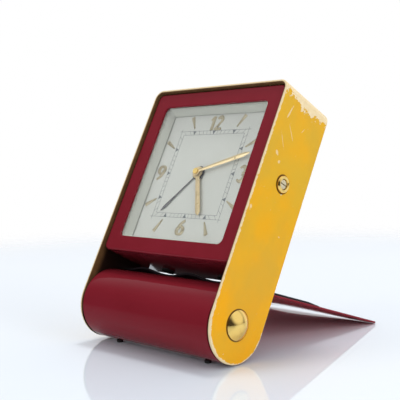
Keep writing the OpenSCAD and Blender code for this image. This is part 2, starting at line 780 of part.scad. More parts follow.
// Movement
pillar_share = 1.6 / 46;
pillar_r = pillar_share * plate_w;
pillar_inset = 1.25 * pillar_r;
pillar_shares = [[-1, -1], [1, -1], [-1, 1], [1, 1]];
function pillar_at(s) = [s[0] * (plate_w / 2 - pillar_inset), s[1] * (plate_w / 2 - pillar_inset)
    + plate_mid_z];
train_at = [third_at, fourth_at, escape_at, lever_at, balance_at, alarm_escape_at, hammer_at];
module plate_outline() {
    translate([0, plate_mid_z]) round_rect(plate_w, plate_w, 2 * pillar_inset);
}
module plate_holes(y0, y1) {
    for (p = train_at) bar(pivot_r + run, y0 - cut, y1 + cut, p, $fn = small_fn);
    for (p = [great_at, alarm_great_at]) bar(winding_r + run, y0 - cut, y1 + cut, p);
    bar(arbor_r + run, y0 - cut, y1 + cut, alarm_set_at);
    bar(hand_arbor_r + run, y0 - cut, y1 + cut);
    for (s = pillar_shares) bar(pillar_r / 2, y0 - cut, y1 + cut, pillar_at(s), $fn = small_fn);
}
module front_plate() {
    color("khaki") on_arbor() difference() {
        union() {
            slab(front_y, inner_y) plate_outline();
            bar(motion_stud_r, minute_pinion_y - side, front_y, minute_wheel_at);
        }
        plate_holes(front_y, inner_y);
    }
}
module rear_plate() {
    color("khaki") on_arbor() difference() {
        slab(rear_in_y, rear_out_y) plate_outline();
        plate_holes(rear_in_y, rear_out_y);
    }
}
module plate_pillars() {
    color("darkkhaki") on_arbor() for (s = pillar_shares) {
        bar(pillar_r, inner_y, rear_in_y, pillar_at(s));
        bar(pillar_r / 2, front_y, inner_y, pillar_at(s), $fn = small_fn);
    }
}
screw_head_h = 0.6;
module plate_screws() {
    color("silver") on_arbor() for (s = pillar_shares) difference() {
        union() {
            bar(pillar_r / 2, rear_in_y, rear_out_y + side, pillar_at(s), $fn = small_fn);
            bar(pillar_r, rear_out_y, rear_out_y + screw_head_h, pillar_at(s), $fn = small_fn);
        }
        at(pillar_at(s)) translate([-pillar_r, rear_out_y + screw_head_h / 2, -slot_w / 2])
            cube([2 * pillar_r, screw_head_h, slot_w]);
    }
}
module train_wheel(p, n, m, layer, turn) {
    slab(inner_y + layer, inner_y + layer + wheel_t) translate(p)
        wheel_outline(n, m, turn, 4, 3 * arbor_r, arbor_r / 2);
}
module train_pinion(p, n, m, layer, turn, t = wheel_t) {
    slab(inner_y + layer - leaf_extra, inner_y + layer + t + leaf_extra) translate(p)
        pinion_outline(n, m, turn);
}
module centre_wheel() {
    color("khaki") on_arbor() difference() {
        union() {
            train_wheel([0, 0], centre_n, centre_m, centre_layer, third_turn);
            pipe(2.5 * hand_arbor_r, hand_arbor_r + run, inner_y + side, inner_y + great_layer);
            train_pinion([0, 0], centre_pinion_n, great_m, great_layer,
                gap_turn(great_turn + 180, centre_pinion_n), great_t);
        }
        bar(hand_arbor_r + run, inner_y - cut, rear_in_y + cut);
    }
}
module third_wheel() {
    color("khaki") on_arbor() union() {
        arbor(third_at);
        train_pinion(third_at, pinion_n, centre_m, centre_layer, gap_turn(third_turn, pinion_n));
        train_wheel(third_at, third_n, third_m, third_layer, fourth_turn);
    }
}
module fourth_wheel() {
    color("khaki") on_arbor() union() {
        arbor(fourth_at);
        train_pinion(fourth_at, pinion_n, third_m, third_layer, gap_turn(fourth_turn, pinion_n));
        train_wheel(fourth_at, fourth_n, fourth_m, fourth_layer, escape_turn);
    }
}
module escape_wheel() {
    depth = escape_r / 4;
    color("gold") on_arbor() union() {
        arbor(escape_at);
        train_pinion(escape_at, pinion_n, fourth_m, fourth_layer, gap_turn(escape_turn, pinion_n));
        slab(inner_y + escape_layer, inner_y + escape_layer + wheel_t) translate(escape_at) difference() {
            saw_outline(escape_n, escape_r, depth);
            difference() {
                circle(r = escape_r - 1.5 * depth);
                circle(r = 2 * arbor_r);
                for (i = [0 : 3]) rotate(90 * i) translate([0, -arbor_r / 2]) square([escape_r, arbor_r]);
            }
        }
    }
}
module pallet_lever() {
    reach = lever_d - escape_r - 2 * side;
    color("silver") on_arbor() union() {
        arbor(lever_at);
        slab(inner_y + escape_layer, inner_y + escape_layer + wheel_t) translate(lever_at) {
            rotate(balance_turn) translate([0, -arbor_r / 2]) square([balance_d - 2 * arbor_r, arbor_r]);
            rotate(lever_turn + 90) {
                translate([-reach * 3, 0]) square([reach * 6, arbor_r], center = false);
                for (s = [-1, 1]) translate([s * reach * 3 - arbor_r / 2, -reach / 2])
                    square([arbor_r, reach / 2 + arbor_r]);
            }
            circle(r = 1.5 * arbor_r);
        }
    }
}
module balance_wheel() {
    color("gold") on_arbor() union() {
        arbor(balance_at);
        slab(inner_y + balance_layer, inner_y + balance_layer + 2 * wheel_t) translate(balance_at) {
            difference() {
                circle(r = balance_r);
                circle(r = balance_r - 2 * wheel_t);
            }
            for (a = [0, 90]) rotate(a) square([2 * balance_r - wheel_t, 2 * wheel_t], center = true);
        }
    }
}
hair_turns = 3;
hair_t = 0.12;
module hairspring() {
    color("steelblue") on_arbor() slab(inner_y + hairspring_layer - wheel_t,
        inner_y + hairspring_layer) translate(balance_at)
        spiral(arbor_r + run, balance_r / 2, hair_t, hair_turns, 20);
}
cock_share = 3 / 46;
cock_w = cock_share * plate_w;
module balance_cock() {
    y0 = inner_y + hairspring_layer + side;
    color("khaki") on_arbor() difference() {
        slab(y0, rear_in_y) {
            translate(balance_at) circle(r = cock_w / 2);
            translate(balance_at - [cock_w / 2, balance_r]) square([cock_w, balance_r]);
            translate(balance_at - [cock_w / 2, balance_r]) circle(r = cock_w / 2);
        }
        bar(pivot_r + arbor_r, y0 - cut, rear_in_y + cut, balance_at, $fn = small_fn);
    }
}
regulator_share = 4 / 46;
regulator_l = regulator_share * plate_w;
module regulator_lever() {
    color("silver") on_arbor() difference() {
        slab(rear_out_y + run, rear_out_y + wheel_t) translate(balance_at) {
            circle(r = 4 * pivot_r);
            translate([-pivot_r, 0]) square([2 * pivot_r, regulator_l]);
            translate([0, regulator_l]) circle(r = 2 * pivot_r, $fn = small_fn);
        }
        bar(pivot_r + run, rear_out_y - cut, rear_out_y + cut, balance_at, $fn = small_fn);
    }
}
module great_wheel(p, n, turn) {
    on_arbor() {
        slab(inner_y + great_layer, inner_y + great_layer + great_t) translate(p)
            wheel_outline(n, great_m, turn, 5, 1.5 * ratchet_r, winding_r + run);
        bar(click_stud_r, inner_y + great_layer + great_t, inner_y + click_layer + click_t,
            p + [click_d, 0], $fn = small_fn);
    }
}
click_stud_share = 0.125;
click_stud_r = click_stud_share * ratchet_r;
click_d = ratchet_r + 2.8 * click_stud_r;
click_layer = great_layer + great_t + run;
click_t = (plate_gap - click_layer) / 2;
module click(p) {
    on_arbor() slab(inner_y + click_layer, inner_y + click_layer + click_t) translate(p + [click_d, 0])
        difference() {
        union() {
            circle(r = 2 * click_stud_r);
            polygon([[0, 2 * click_stud_r], [-click_stud_r, 4 * click_stud_r],
                [-1.8 * click_stud_r, 4 * click_stud_r],
                [-2 * click_stud_r, 0]]);
        }
        circle(r = click_stud_r + run, $fn = small_fn);
    }
}
module winding_arbor(p) {
    on_arbor() {
        bar(winding_r, front_y, rear_out_y + side, p);
        bar(winding_core_r, inner_y + spring_layer, inner_y + spring_layer + mainspring_h, p);
        slab(inner_y + click_layer, inner_y + click_layer + click_t) translate(p)
            saw_outline(ratchet_n, ratchet_r, ratchet_r / 8);
        bar(key_stem_r, rear_out_y, back_out_y + key_lift, p);
    }
}
key_stem_r = 1.2;
key_lift = 0.6;
module mainspring(p) {
    on_arbor() slab(inner_y + spring_layer, inner_y + spring_layer + mainspring_h) translate(p)
        spiral(winding_core_r, mainspring_r, mainspring_t, spring_turns, 24);
}
module time_great_wheel() {
    color("khaki") great_wheel(great_at, great_n, great_turn + 180);
}
module time_mainspring() {
    color("slategray") mainspring(great_at);
}
module time_winding_arbor() {
    color("silver") winding_arbor(great_at);
}
module time_click() {
    color("silver") click(great_at);
}
module alarm_great_wheel() {
    color("khaki") great_wheel(alarm_great_at, great_n, alarm_escape_turn);
}
module alarm_mainspring() {
    color("slategray") mainspring(alarm_great_at);
}
module alarm_winding_arbor() {
    color("silver") winding_arbor(alarm_great_at);
}
module alarm_click() {
    color("silver") click(alarm_great_at);
}
module alarm_escape_wheel() {
    color("gold") on_arbor() union() {
        arbor(alarm_escape_at);
        train_pinion(alarm_escape_at, alarm_escape_n, great_m, great_layer,
            gap_turn(alarm_escape_turn, alarm_escape_n), great_t);
        slab(inner_y + alarm_tooth_layer, inner_y + alarm_tooth_layer + wheel_t)
            translate(alarm_escape_at)
            saw_outline(alarm_tooth_n, alarm_tooth_r, alarm_tooth_r / 5);
    }
}
hammer_shares = [1.1 / 46, 1.5 / 46];
hammer_head_r = hammer_shares[0] * plate_w;
hammer_rise = hammer_shares[1] * plate_w;
module alarm_hammer() {
    reach = hammer_d - alarm_tooth_r - 3 * side;
    head = [gong_x - gong_t - hammer_head_r - pass - hammer_at[0], hammer_rise];
    color("silver") on_arbor() union() {
        arbor(hammer_at);
        slab(inner_y + alarm_tooth_layer, inner_y + alarm_tooth_layer + wheel_t) translate(hammer_at) {
            circle(r = 2 * arbor_r);
            rotate(hammer_turn + 180) translate([0, -arbor_r / 2]) square([reach, arbor_r]);
            rotate(atan2(head[1], head[0])) translate([0, -arbor_r / 2]) square([norm(head), arbor_r]);
        }
        bar(hammer_head_r, inner_y + alarm_tooth_layer - wheel_t,
            inner_y + alarm_tooth_layer + 2 * wheel_t, hammer_at + head);
    }
}
module alarm_gong() {
    z0 = pillar_at([1, -1])[1] - pillar_inset;
    foot = [pillar_at([1, -1])[0] + pillar_r + side, z0];
    y0 = inner_y + alarm_tooth_layer - gong_w / 2;
    color("lightsteelblue") on_arbor() union() {
        slab(y0, y0 + gong_w) {
            translate([gong_x - gong_t, z0]) square([gong_t, hammer_at[1] + hammer_d - z0]);
            translate(foot) square([gong_x - foot[0], gong_t]);
        }
        slab(y0, rear_in_y) translate(foot) square([gong_t, 2 * gong_t]);
    }
}
module alarm_setting_arbor() {
    color("silver") on_arbor() union() {
        bar(arbor_r, alarm_wheel_y - motion_leaf_t / 2, knob_y, alarm_set_at);
        slab(alarm_wheel_y - motion_leaf_t / 2, alarm_wheel_y + motion_leaf_t) translate(alarm_set_at)
            pinion_outline(alarm_pinion_n, alarm_m, gap_turn(alarm_set_turn, alarm_pinion_n));
    }
}
stop_at_shares = [0, 0.42];
stop_share = 5 / 46;
stop_l = stop_share * plate_w;
module alarm_stop_lever() {
    p = stop_at_shares * plate_w;
    color("silver") on_arbor() union() {
        bar(2 * arbor_r, rear_out_y + run, back_out_y + run, p);
        slab(back_out_y + run, back_out_y + 2 * wheel_t) translate(p) {
            circle(r = 4 * arbor_r);
            translate([0, -arbor_r]) square([stop_l, 2 * arbor_r]);
            translate([stop_l, 0]) circle(r = 2 * arbor_r);
        }
    }
}

// Back
spacer_shares = [[-0.36, -0.36], [0.36, -0.36], [-0.2, 0.36], [0.2, 0.36]];
function spacer_at(s) = s * plate_w + [0, plate_mid_z];
module at_cover_screws() {
    for (sx = [-1, 1], sz = [-1, 1])
        translate([sx * (case_w / 2 - case_t - ledge_w / 2), 0, case_mid_z + sz * back_screw_up])
            children();
}
module back_cover() {
    color("firebrick") difference() {
        on_frame() slab(back_in_y, back_out_y) case_outline(-case_t - side);
        on_frame() at_cover_screws()
            bar(back_screw_r + run, back_in_y - cut, back_out_y + cut, $fn = small_fn);
        on_arbor() {
            for (p = [great_at, alarm_great_at])
                bar(key_stem_r + pass, back_in_y - cut, back_out_y + cut, p);
            for (p = [[0, 0], alarm_set_at])
                bar(hand_arbor_r + pass, back_in_y - cut, back_out_y + cut, p);
            bar(2 * arbor_r + run, back_in_y - cut, back_out_y + cut, stop_at_shares * plate_w);
            slab(back_in_y - cut, back_out_y + cut) translate(balance_at + [0, regulator_l]) 
                square([regulator_l, 8 * pivot_r], center = true);
        }
    }
}
module back_cover_screws() {
    head_r = 2 * back_screw_r;
    color("silver") on_frame() at_cover_screws() difference() {
        union() {
            bar(back_screw_r, back_in_y - ledge_t, back_out_y + side, $fn = small_fn);
            bar(head_r, back_out_y, back_out_y + screw_head_h, $fn = small_fn);
        }
        translate([-head_r, back_out_y + screw_head_h / 2, -slot_w / 2])
            cube([2 * head_r, screw_head_h, slot_w]);
    }
}
module movement_spacers() {
    color("darkkhaki") on_arbor() for (s = spacer_shares)
        bar(pillar_r, rear_out_y, back_in_y, spacer_at(s));
}
module key(p) {
    y0 = back_out_y + side;
    wing_t = key_stem_r;
    on_arbor() at(p) difference() {
        union() {
            bar(2 * key_stem_r, y0, y0 + key_h / 2);
            translate([0, 0, -wing_t / 2]) linear_extrude(height = wing_t)
                translate([0, y0 + key_h / 2 + key_lift])
                round_rect(key_w, key_h - key_lift, key_h / 3);
        }
        bar(key_stem_r, y0 - cut, back_out_y + key_lift);
    }
}
module time_key() {
    color("gold") key(great_at);
}
module alarm_key() {
    color("gold") key(alarm_great_at);
}
knob_y = back_out_y + knob_t / 2;
knurls = 20;
module knob(p, stem) {
    color("gold") on_arbor() difference() {
        slab(back_out_y + side, back_out_y + side + knob_t) translate(p) difference() {
            circle(r = knob_r);
            for (i = [0 : knurls - 1]) rotate(i * 360 / knurls) translate([knob_r + knob_r / 20, 0])
                circle(r = knob_r / 10, $fn = 16);
        }
        bar(stem, back_out_y, knob_y, p);
    }
}
module hand_setting_knob() {
    knob([0, 0], hand_arbor_r);
}
module alarm_setting_knob() {
    knob(alarm_set_at, arbor_r);
}

strap_frame();
pivot_studs();
pivot_washers();
pivot_nuts();
cover_shell();
cover_cheeks();
cover_stop_pad();
cover_feet();
case_shell();
case_eyelets();
case_screws();
case_buffers();
glass();
dial_surround();
dial_plate();
hour_numerals();
hour_markers();
minute_hand();
hour_hand();
alarm_hand();
hand_nut();
cannon_pinion();
hand_arbor();
hour_wheel();
minute_wheel();
alarm_wheel();
front_plate();
rear_plate();
plate_pillars();
plate_screws();
centre_wheel();
third_wheel();
fourth_wheel();
escape_wheel();
pallet_lever();
balance_wheel();
hairspring();
balance_cock();
regulator_lever();
time_great_wheel();
time_mainspring();
time_winding_arbor();
time_click();
alarm_great_wheel();
alarm_mainspring();
alarm_winding_arbor();
alarm_click();
alarm_escape_wheel();
alarm_hammer();
alarm_gong();
alarm_setting_arbor();
alarm_stop_lever();
back_cover();
back_cover_screws();
movement_spacers();
time_key();
alarm_key();
hand_setting_knob();
alarm_setting_knob();
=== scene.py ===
# %% [markdown]
# # A folding travel alarm clock
# The real clock is a bent yellow strap that holds a red clock case between its arms, with a
# red barrel and plate that swing round two brass studs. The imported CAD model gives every
# piece its place. Here each piece that shows gets a finer mesh and its real finish.

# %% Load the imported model
import math
import bpy
import bmesh
from mathutils import Matrix, Vector


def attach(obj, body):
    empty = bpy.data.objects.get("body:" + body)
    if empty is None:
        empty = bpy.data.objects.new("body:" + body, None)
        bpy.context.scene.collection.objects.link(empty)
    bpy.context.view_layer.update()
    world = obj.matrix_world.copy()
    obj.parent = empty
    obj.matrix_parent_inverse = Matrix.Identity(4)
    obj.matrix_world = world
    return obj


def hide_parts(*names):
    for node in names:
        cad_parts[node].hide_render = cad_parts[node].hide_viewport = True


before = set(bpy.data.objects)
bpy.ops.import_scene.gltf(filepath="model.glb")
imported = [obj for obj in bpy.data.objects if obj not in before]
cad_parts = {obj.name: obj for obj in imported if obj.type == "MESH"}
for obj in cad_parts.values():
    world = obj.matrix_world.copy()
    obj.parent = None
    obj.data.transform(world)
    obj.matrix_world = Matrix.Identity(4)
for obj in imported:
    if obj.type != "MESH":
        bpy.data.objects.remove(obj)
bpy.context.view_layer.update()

scene = bpy.context.scene

# %% [markdown]
# ## Sizes and places
# The clock is built in two slanted frames, both with their zero on the pivot of the studs:
# the strap's frame leans back, with z up along the arms, and the cover's frame slopes down to
# the table, with y along the plate. Writing a mesh in millimetres in the frame of its own
# piece keeps the numbers readable, and one matrix then carries it to the clock's place.

# %% Sizes in millimetres
MM = 0.001
LEAN, PIVOT_Z, ARBOR_Z, EYELET_Z = math.radians(28), 12.0, 45.3, 45.0
STRAP_W, STRAP_D, STRAP_H, STRAP_T, STRAP_BEND = 60.0, 23.0, 75.2, 0.9, 3.2
STUD_R, EYELET_R = 4.45, 2.7
ARM_R = STRAP_D / 2
COVER_R, COVER_T, COVER_X, COVER_L = 11.4, 0.6, 28.7, 74.06
COVER_IN = COVER_R - COVER_T
# The open plate slopes down until its end meets the table
SLOPE = math.atan(COVER_IN / COVER_L) + math.asin(PIVOT_Z / math.hypot(COVER_L, COVER_IN))
TIP_Y = COVER_R * math.sin(SLOPE) + COVER_L * math.cos(SLOPE)
MIDDLE_Y = (TIP_Y - ARM_R) / 2
# The case's face and back, and the dial behind the face
FACE_Y, REAR_Y = -10.5, 10.5
DIAL_Y = FACE_Y + 4.2


def slanted(angle, up=0.0):
    """Matrix from a slanted frame with its zero on the pivot to the clock's own place."""
    return (Matrix.Translation((0, -MIDDLE_Y, PIVOT_Z)) @ Matrix.Rotation(-angle, 4, "X")
            @ Matrix.Translation((0, 0, up)))


ON_FRAME, ON_ARBOR, ON_COVER = slanted(LEAN), slanted(LEAN, ARBOR_Z), slanted(SLOPE)
print("hand arbor at", [round(v, 2) for v in ON_ARBOR.translation], "mm")

# %% [markdown]
# ## Camera
# A real photographer stood low and to the right, with the lens nearly level. The camera goes
# first, so that every later piece can be judged against the same view. Its place, turn and
# small shift come from the edges of the strap, the window and the table in the photograph.

# %% Camera
CAMERA_AT = (188.56, -201.37, 62.64)
YAW, PITCH, ROLL = math.radians(44.8261), math.radians(-4.4218), math.radians(-1.2054)
LENS, SHIFT_X, SHIFT_Y = 73.53, -0.0234, 0.0328


def camera_axes():
    """Right, up and back of the camera from its yaw, pitch and roll."""
    ahead = Vector((-math.sin(YAW) * math.cos(PITCH), math.cos(YAW) * math.cos(PITCH),
                    math.sin(PITCH)))
    right = Vector((math.cos(YAW), math.sin(YAW), 0))
    up = right.cross(ahead)
    rolled = math.cos(ROLL) * right + math.sin(ROLL) * up
    return rolled, ahead.cross(rolled) * -1, -ahead


lens = bpy.data.cameras.new("camera")
lens.lens, lens.shift_x, lens.shift_y = LENS, SHIFT_X, SHIFT_Y
camera = bpy.data.objects.new("camera", lens)
scene.collection.objects.link(camera)
across, upward, backward = camera_axes()
camera.matrix_world = Matrix.Translation(Vector(CAMERA_AT) * MM) @ Matrix(
    (across, upward, backward)).transposed().to_4x4()
scene.camera = camera
print("camera", round((Vector(CAMERA_AT) * MM).length, 3), "m from the clock's middle")

# %% [markdown]
# ## Helpers for materials
# Every finish is drawn by nodes: noise and distance in millimetres drive colour, roughness and
# bump. A few helpers keep that short: one adds a node with its inputs, some do sums, and one
# turns a value into a soft step. The coordinates are the piece's own, measured in the strap's
# or the cover's frame, so that wear can follow a real edge.

# %% Nodes and sums
def start(name, slot_colour, rough, metallic=0.0):
    """New material and its shader, with the plain values that the nodes start from."""
    made = bpy.data.materials.new(name)
    made.use_nodes = True
    made.diffuse_color = (*slot_colour, 1)
    shader = made.node_tree.nodes["Principled BSDF"]
    shader.inputs["Base Color"].default_value = (*slot_colour, 1)
    shader.inputs["Roughness"].default_value = rough
    shader.inputs["Metallic"].default_value = metallic
    return made, made.node_tree, shader


def add(tree, kind, sockets=None, **settings):
    """Adds a shader node; a socket's value is a plain value or another node's output."""
    made = tree.nodes.new("ShaderNode" + kind)
    for key, value in settings.items():
        setattr(made, key, value)
    for key, value in (sockets or {}).items():
        if isinstance(value, bpy.types.NodeSocket):
            tree.links.new(value, made.inputs[key])
        else:
            made.inputs[key].default_value = value
    return made


def calc(operation, first, second=0.0):
    """Output of one sum; at least one value is a node's output, and it knows its tree."""
    tree = (first if isinstance(first, bpy.types.NodeSocket) else second).id_data
    return add(tree, "Math", {0: first, 1: second}, operation=operation).outputs[0]


def plus(first, second):
    return calc("ADD", first, second)


def times(first, second):
    return calc("MULTIPLY", first, second)


def larger(first, second):
    return calc("MAXIMUM", first, second)


def squares(first, second):
    """Sum of the squares of two values."""
    return plus(calc("POWER", first, 2.0), calc("POWER", second, 2.0))


def distance(first, second):
    """Distance from zero of a point given by two values."""
    return calc("SQRT", squares(first, second))


print("sums ready")

# %% Steps, colours, places and bump
def step(value, low, high):
    """0 below low and 1 above high, with a soft rise between; high may be the lower one."""
    return add(value.id_data, "MapRange", {"Value": value, "From Min": low, "From Max": high},
               interpolation_type="SMOOTHSTEP").outputs[0]


def blend_colour(share, first, second):
    """Mixes two colours."""
    tree = share.id_data
    made = tree.nodes.new("ShaderNodeMix")
    made.data_type = "RGBA"
    for index, value in ((0, share), (6, first), (7, second)):
        if isinstance(value, bpy.types.NodeSocket):
            tree.links.new(value, made.inputs[index])
        else:
            made.inputs[index].default_value = (*value, 1) if index else value
    return made.outputs[2]


def own_place(tree, angle=LEAN):
    """Millimetres in the strap's or the cover's frame, from the object's own coordinates."""
    turn = Matrix.Rotation(angle, 3, "X")
    shift = turn @ Vector((0, MIDDLE_Y, -PIVOT_Z))
    where = add(tree, "TexCoord").outputs["Object"]
    return add(tree, "Mapping", {"Vector": where, "Location": shift, "Rotation": (angle, 0, 0),
                                 "Scale": (1 / MM, 1 / MM, 1 / MM)}).outputs[0]


def noise(place, size, detail=3.0, stretch=(1, 1, 1), rough=0.5):
    """Noise value whose features are about size millimetres wide."""
    tree = place.id_data
    scaled = add(tree, "Mapping", {"Vector": place, "Scale": stretch}).outputs[0]
    return add(tree, "TexNoise", {"Vector": scaled, "Scale": 1 / size, "Detail": detail,
                                  "Roughness": rough}).outputs["Fac"]


def bump(tree, shader, height, strength, depth_mm):
    """Bump from a height value; depth is the real height in millimetres."""
    made = add(tree, "Bump", {"Height": height, "Strength": strength, "Distance": depth_mm * MM})
    tree.links.new(made.outputs[0], shader.inputs["Normal"])


print("material helpers ready")

# %% [markdown]
# ## Yellow lacquer: where it is worn
# The strap is sheet metal with a thick yellow lacquer. On the real clock its edges have lost
# the colour and show a cream ground, and the top of the right arm has lost whole flakes. A
# painted picture could show that, but would blur close up. Here distance to the edge, plus
# noise, decides where the cream shows: that gives a ragged line, where a plain band would
# look like a stripe. Each mask below is 1 where the colour has gone.

# %% Masks of the worn places
# Single marks of the right arm: y, z, half length, half width and slant of each
MARKS = [(-6.5, 66.5, 2.2, 0.35, 0.25), (-3.5, 61.0, 3.6, 0.14, -0.75),
         (-6.0, 57.0, 3.0, 0.12, -0.65), (-6.8, 52.6, 1.1, 0.5, -0.9),
         (-4.6, 50.4, 0.5, 0.7, 0.2), (-10.2, 33.0, 0.9, 0.6, 0.0),
         (5.6, 30.0, 0.3, 0.45, 0.3), (1.5, 64.0, 1.2, 0.12, 0.5)]


def worn_edge(axis, ragged):
    """The rim, widest in front and round the low end."""
    from_edge = calc("SUBTRACT", ARM_R, distance(axis[1], calc("MINIMUM", axis[2], 0.0)))
    reach = plus(times(step(axis[1], 2, -6), 0.22), times(step(axis[2], 6, -6), 0.35))
    wander = times(calc("SUBTRACT", ragged, 0.5), 1.7)
    band = plus(plus(reach, 0.12), wander)
    return step(calc("SUBTRACT", band, from_edge), -0.08, 0.12)


def lost_flakes(place, axis, right):
    """Flakes lost along the top of the right arm, most at its back corner."""
    high = step(axis[2], STRAP_H - 9.5, STRAP_H + 0.5)
    rear = times(step(axis[1], -9, 9), 0.2)
    lost = times(times(high, right), plus(0.32, rear))
    flakes = noise(place, 2.6, 8, rough=0.66)
    return step(plus(flakes, lost), 0.70, 0.72)


def small_marks(place, ragged, right):
    """Rare chips and long faint scratches, and the single marks of the right arm."""
    tree = place.id_data
    chips = step(noise(place, 2.3, 5, rough=0.75), 0.735, 0.75)
    tilted = add(tree, "Mapping", {"Vector": place, "Rotation": (0.62, 0.0, 0.0)}).outputs[0]
    scratches = step(noise(tilted, 0.42, 2, (1, 3.4, 0.16)), 0.755, 0.775)
    marks = larger(chips, times(scratches, 0.5))
    for y, z, long, wide, slant in MARKS:
        shifted = add(tree, "Mapping", {"Vector": place, "Location": (0, -y, -z)}).outputs[0]
        swung = add(tree, "VectorRotate", {"Vector": shifted, "Angle": slant},
                    rotation_type="X_AXIS").outputs[0]
        part = add(tree, "SeparateXYZ", {0: swung}).outputs
        away = squares(calc("DIVIDE", part[2], long), calc("DIVIDE", part[1], wide))
        torn = plus(away, times(calc("SUBTRACT", ragged, 0.5), 5.0))
        worn = times(right, step(torn, 1.1, 0.5))
        marks = larger(marks, times(worn, 0.62))
    return marks


def inner_face(axis):
    """The inner face: nearer than the band's middle to the centre line of the bend."""
    wide = calc("SUBTRACT", calc("ABSOLUTE", axis[0]), STRAP_W / 2 - STRAP_BEND)
    tall = calc("SUBTRACT", axis[2], STRAP_H - STRAP_BEND)
    reach = distance(larger(wide, 0.0), larger(tall, 0.0))
    return step(reach, STRAP_BEND - 0.45, STRAP_BEND - 0.7)


print(len(MARKS), "single marks")

# %% [markdown]
# ## Yellow lacquer: its colours
# The masks now choose between four colours: paint, cream ground, painted shade inside the
# arms with a painted reflection of the red case in it, and a thin dark line round stud and
# eyelet that is dirt and painted contact shade. The paint isn't one yellow either: it is
# deeper near the table, cloudy, and grimy in patches. A bare place is duller and lies lower,
# so the same masks drive roughness and bump.

# %% Yellow lacquer
def paint_colour(place, axis):
    """Sound paint: deeper low down, cloudy, with patches of grime."""
    cloudy = step(noise(place, 11, 4), 0.3, 0.7)
    deep = step(axis[2], 55, 0)
    tone = plus(times(deep, 0.5), times(cloudy, 0.5))
    paint = blend_colour(tone, (0.67, 0.395, 0.027), (0.84, 0.385, 0.004))
    grime = step(noise(place, 17, 4, (1, 1, 0.6)), 0.46, 0.66)
    return blend_colour(times(grime, 0.3), paint, (0.56, 0.34, 0.04))


def painted_shade_inside_arms(place, axis):
    """Painted shade inside the arms, with a painted reflection of the red case: brown at the
    front edge, nearly black deeper in.
    """
    brown = blend_colour(noise(place, 5, 6, rough=0.7), (0.05, 0.022, 0.009),
                         (0.20, 0.105, 0.04))
    deeper = step(axis[1], -ARM_R + 1.2, -ARM_R + 3.5)
    return blend_colour(deeper, brown, (0.018, 0.008, 0.005))


def with_dirt_and_shade_ring(axis, colour, height, head):
    """Adds a dark line of dirt and painted contact shade round a brass head of that radius at
    that height.
    """
    out = distance(axis[1], calc("SUBTRACT", axis[2], height))
    dirt_and_shade = step(out, head + 0.5, head + 0.25)
    return blend_colour(times(dirt_and_shade, 0.9), colour, (0.06, 0.025, 0.008))


def yellow_lacquer():
    made, tree, shader = start("yellow_lacquer", (0.74, 0.42, 0.012), 0.2)
    shader.inputs["Specular IOR Level"].default_value = 0.12
    place = own_place(tree)
    axis = add(tree, "SeparateXYZ", {0: place}).outputs
    ragged = noise(place, 1.6, 6, rough=0.7)
    right = step(axis[0], 20, 28)
    worn = larger(worn_edge(axis, ragged), lost_flakes(place, axis, right))
    bare = larger(worn, small_marks(place, ragged, right))
    inside = inner_face(axis)
    ground = blend_colour(ragged, (0.76, 0.56, 0.26), (0.84, 0.76, 0.56))
    outside = blend_colour(times(bare, 0.93), paint_colour(place, axis), ground)
    # Dark lines round stud and eyelet: dirt and painted contact shade where they meet the arm
    outside = with_dirt_and_shade_ring(axis, outside, 0.0, STUD_R)
    outside = with_dirt_and_shade_ring(axis, outside, EYELET_Z, EYELET_R)
    # Inside the arms the colour is painted shade and painted reflection
    colour = blend_colour(inside, outside, painted_shade_inside_arms(place, axis))
    tree.links.new(colour, shader.inputs["Base Color"])
    gloss = plus(plus(0.17, times(bare, 0.3)), times(inside, 0.25))
    fine = noise(place, 0.5, 3)
    tree.links.new(plus(gloss, times(fine, 0.06)), shader.inputs["Roughness"])
    height = calc("SUBTRACT", times(noise(place, 3, 2), 0.35), bare)
    bump(tree, shader, height, 0.5, 0.08)
    return made


YELLOW = yellow_lacquer()
print("made", YELLOW.name, "with", len(YELLOW.node_tree.nodes), "nodes")

# %% [markdown]
# ## Red lacquer
# Case and cover share one glossy dark red. It is almost even: what the eye reads as finish is
# the faint waviness of the lacquer under long soft reflections, small dull smears and tiny
# dark specks. So colour varies little, and roughness and bump do the work. On the cover the
# noise is stretched along the barrel, so that long highlights stay smooth that way.

# %% Red lacquer
def red_lacquer(name, angle, stretch, rough, smeared, shine=0.16, light=1.0):
    """light makes the colour brighter as painted light, shine the mirror image, smeared the dull
    smears.
    """
    made, tree, shader = start(name, (0.20 * light, 0.014 * light, 0.023 * light), rough)
    shader.inputs["Specular IOR Level"].default_value = shine
    place = own_place(tree, angle)
    cloudy = noise(place, 9, 4, stretch)
    specks = step(noise(place, 0.9, 4, rough=0.7), 0.72, 0.76)
    fine = noise(place, 0.35, 3)
    paint = blend_colour(cloudy, [light * c for c in (0.180, 0.0115, 0.018)],
                         [light * c for c in (0.224, 0.0165, 0.028)])
    colour = blend_colour(times(specks, 0.45), paint, (0.05, 0.01, 0.012))
    smears = noise(place, 4, 5, (0.35, 1, 1))
    gloss = plus(rough, times(smears, smeared))
    waves = plus(times(noise(place, 7, 2, stretch), 0.9), times(fine, 0.05))
    tree.links.new(colour, shader.inputs["Base Color"])
    tree.links.new(gloss, shader.inputs["Roughness"])
    bump(tree, shader, waves, 0.25, 0.05)
    return made


ALONG_BARREL = (0.3, 1, 1)
RED_CASE = red_lacquer("red_lacquer_case", LEAN, (1, 1, 1), 0.04, 0.09)
RED_COVER = red_lacquer("red_lacquer_cover", SLOPE, ALONG_BARREL, 0.02, 0.04, 0.065, 0.99)
# The plate's inner face is a brighter copy of the red: painted light that stands in for the light
# under the plate
RED_INNER_PAINTED_LIGHT = red_lacquer("red_lacquer_inner_painted_light", SLOPE, ALONG_BARREL, 0.02, 0.02, 0.16, 3.1)
print("made", RED_CASE.name, RED_COVER.name, RED_INNER_PAINTED_LIGHT.name)

# %% [markdown]
# ## Metals
# Polished brass, gilt hands, satin movement brass, steel and blued steel differ in colour,
# roughness and the direction of their brushing, so one function with those as arguments
# makes them all. A tarnish noise darkens and roughens small places.

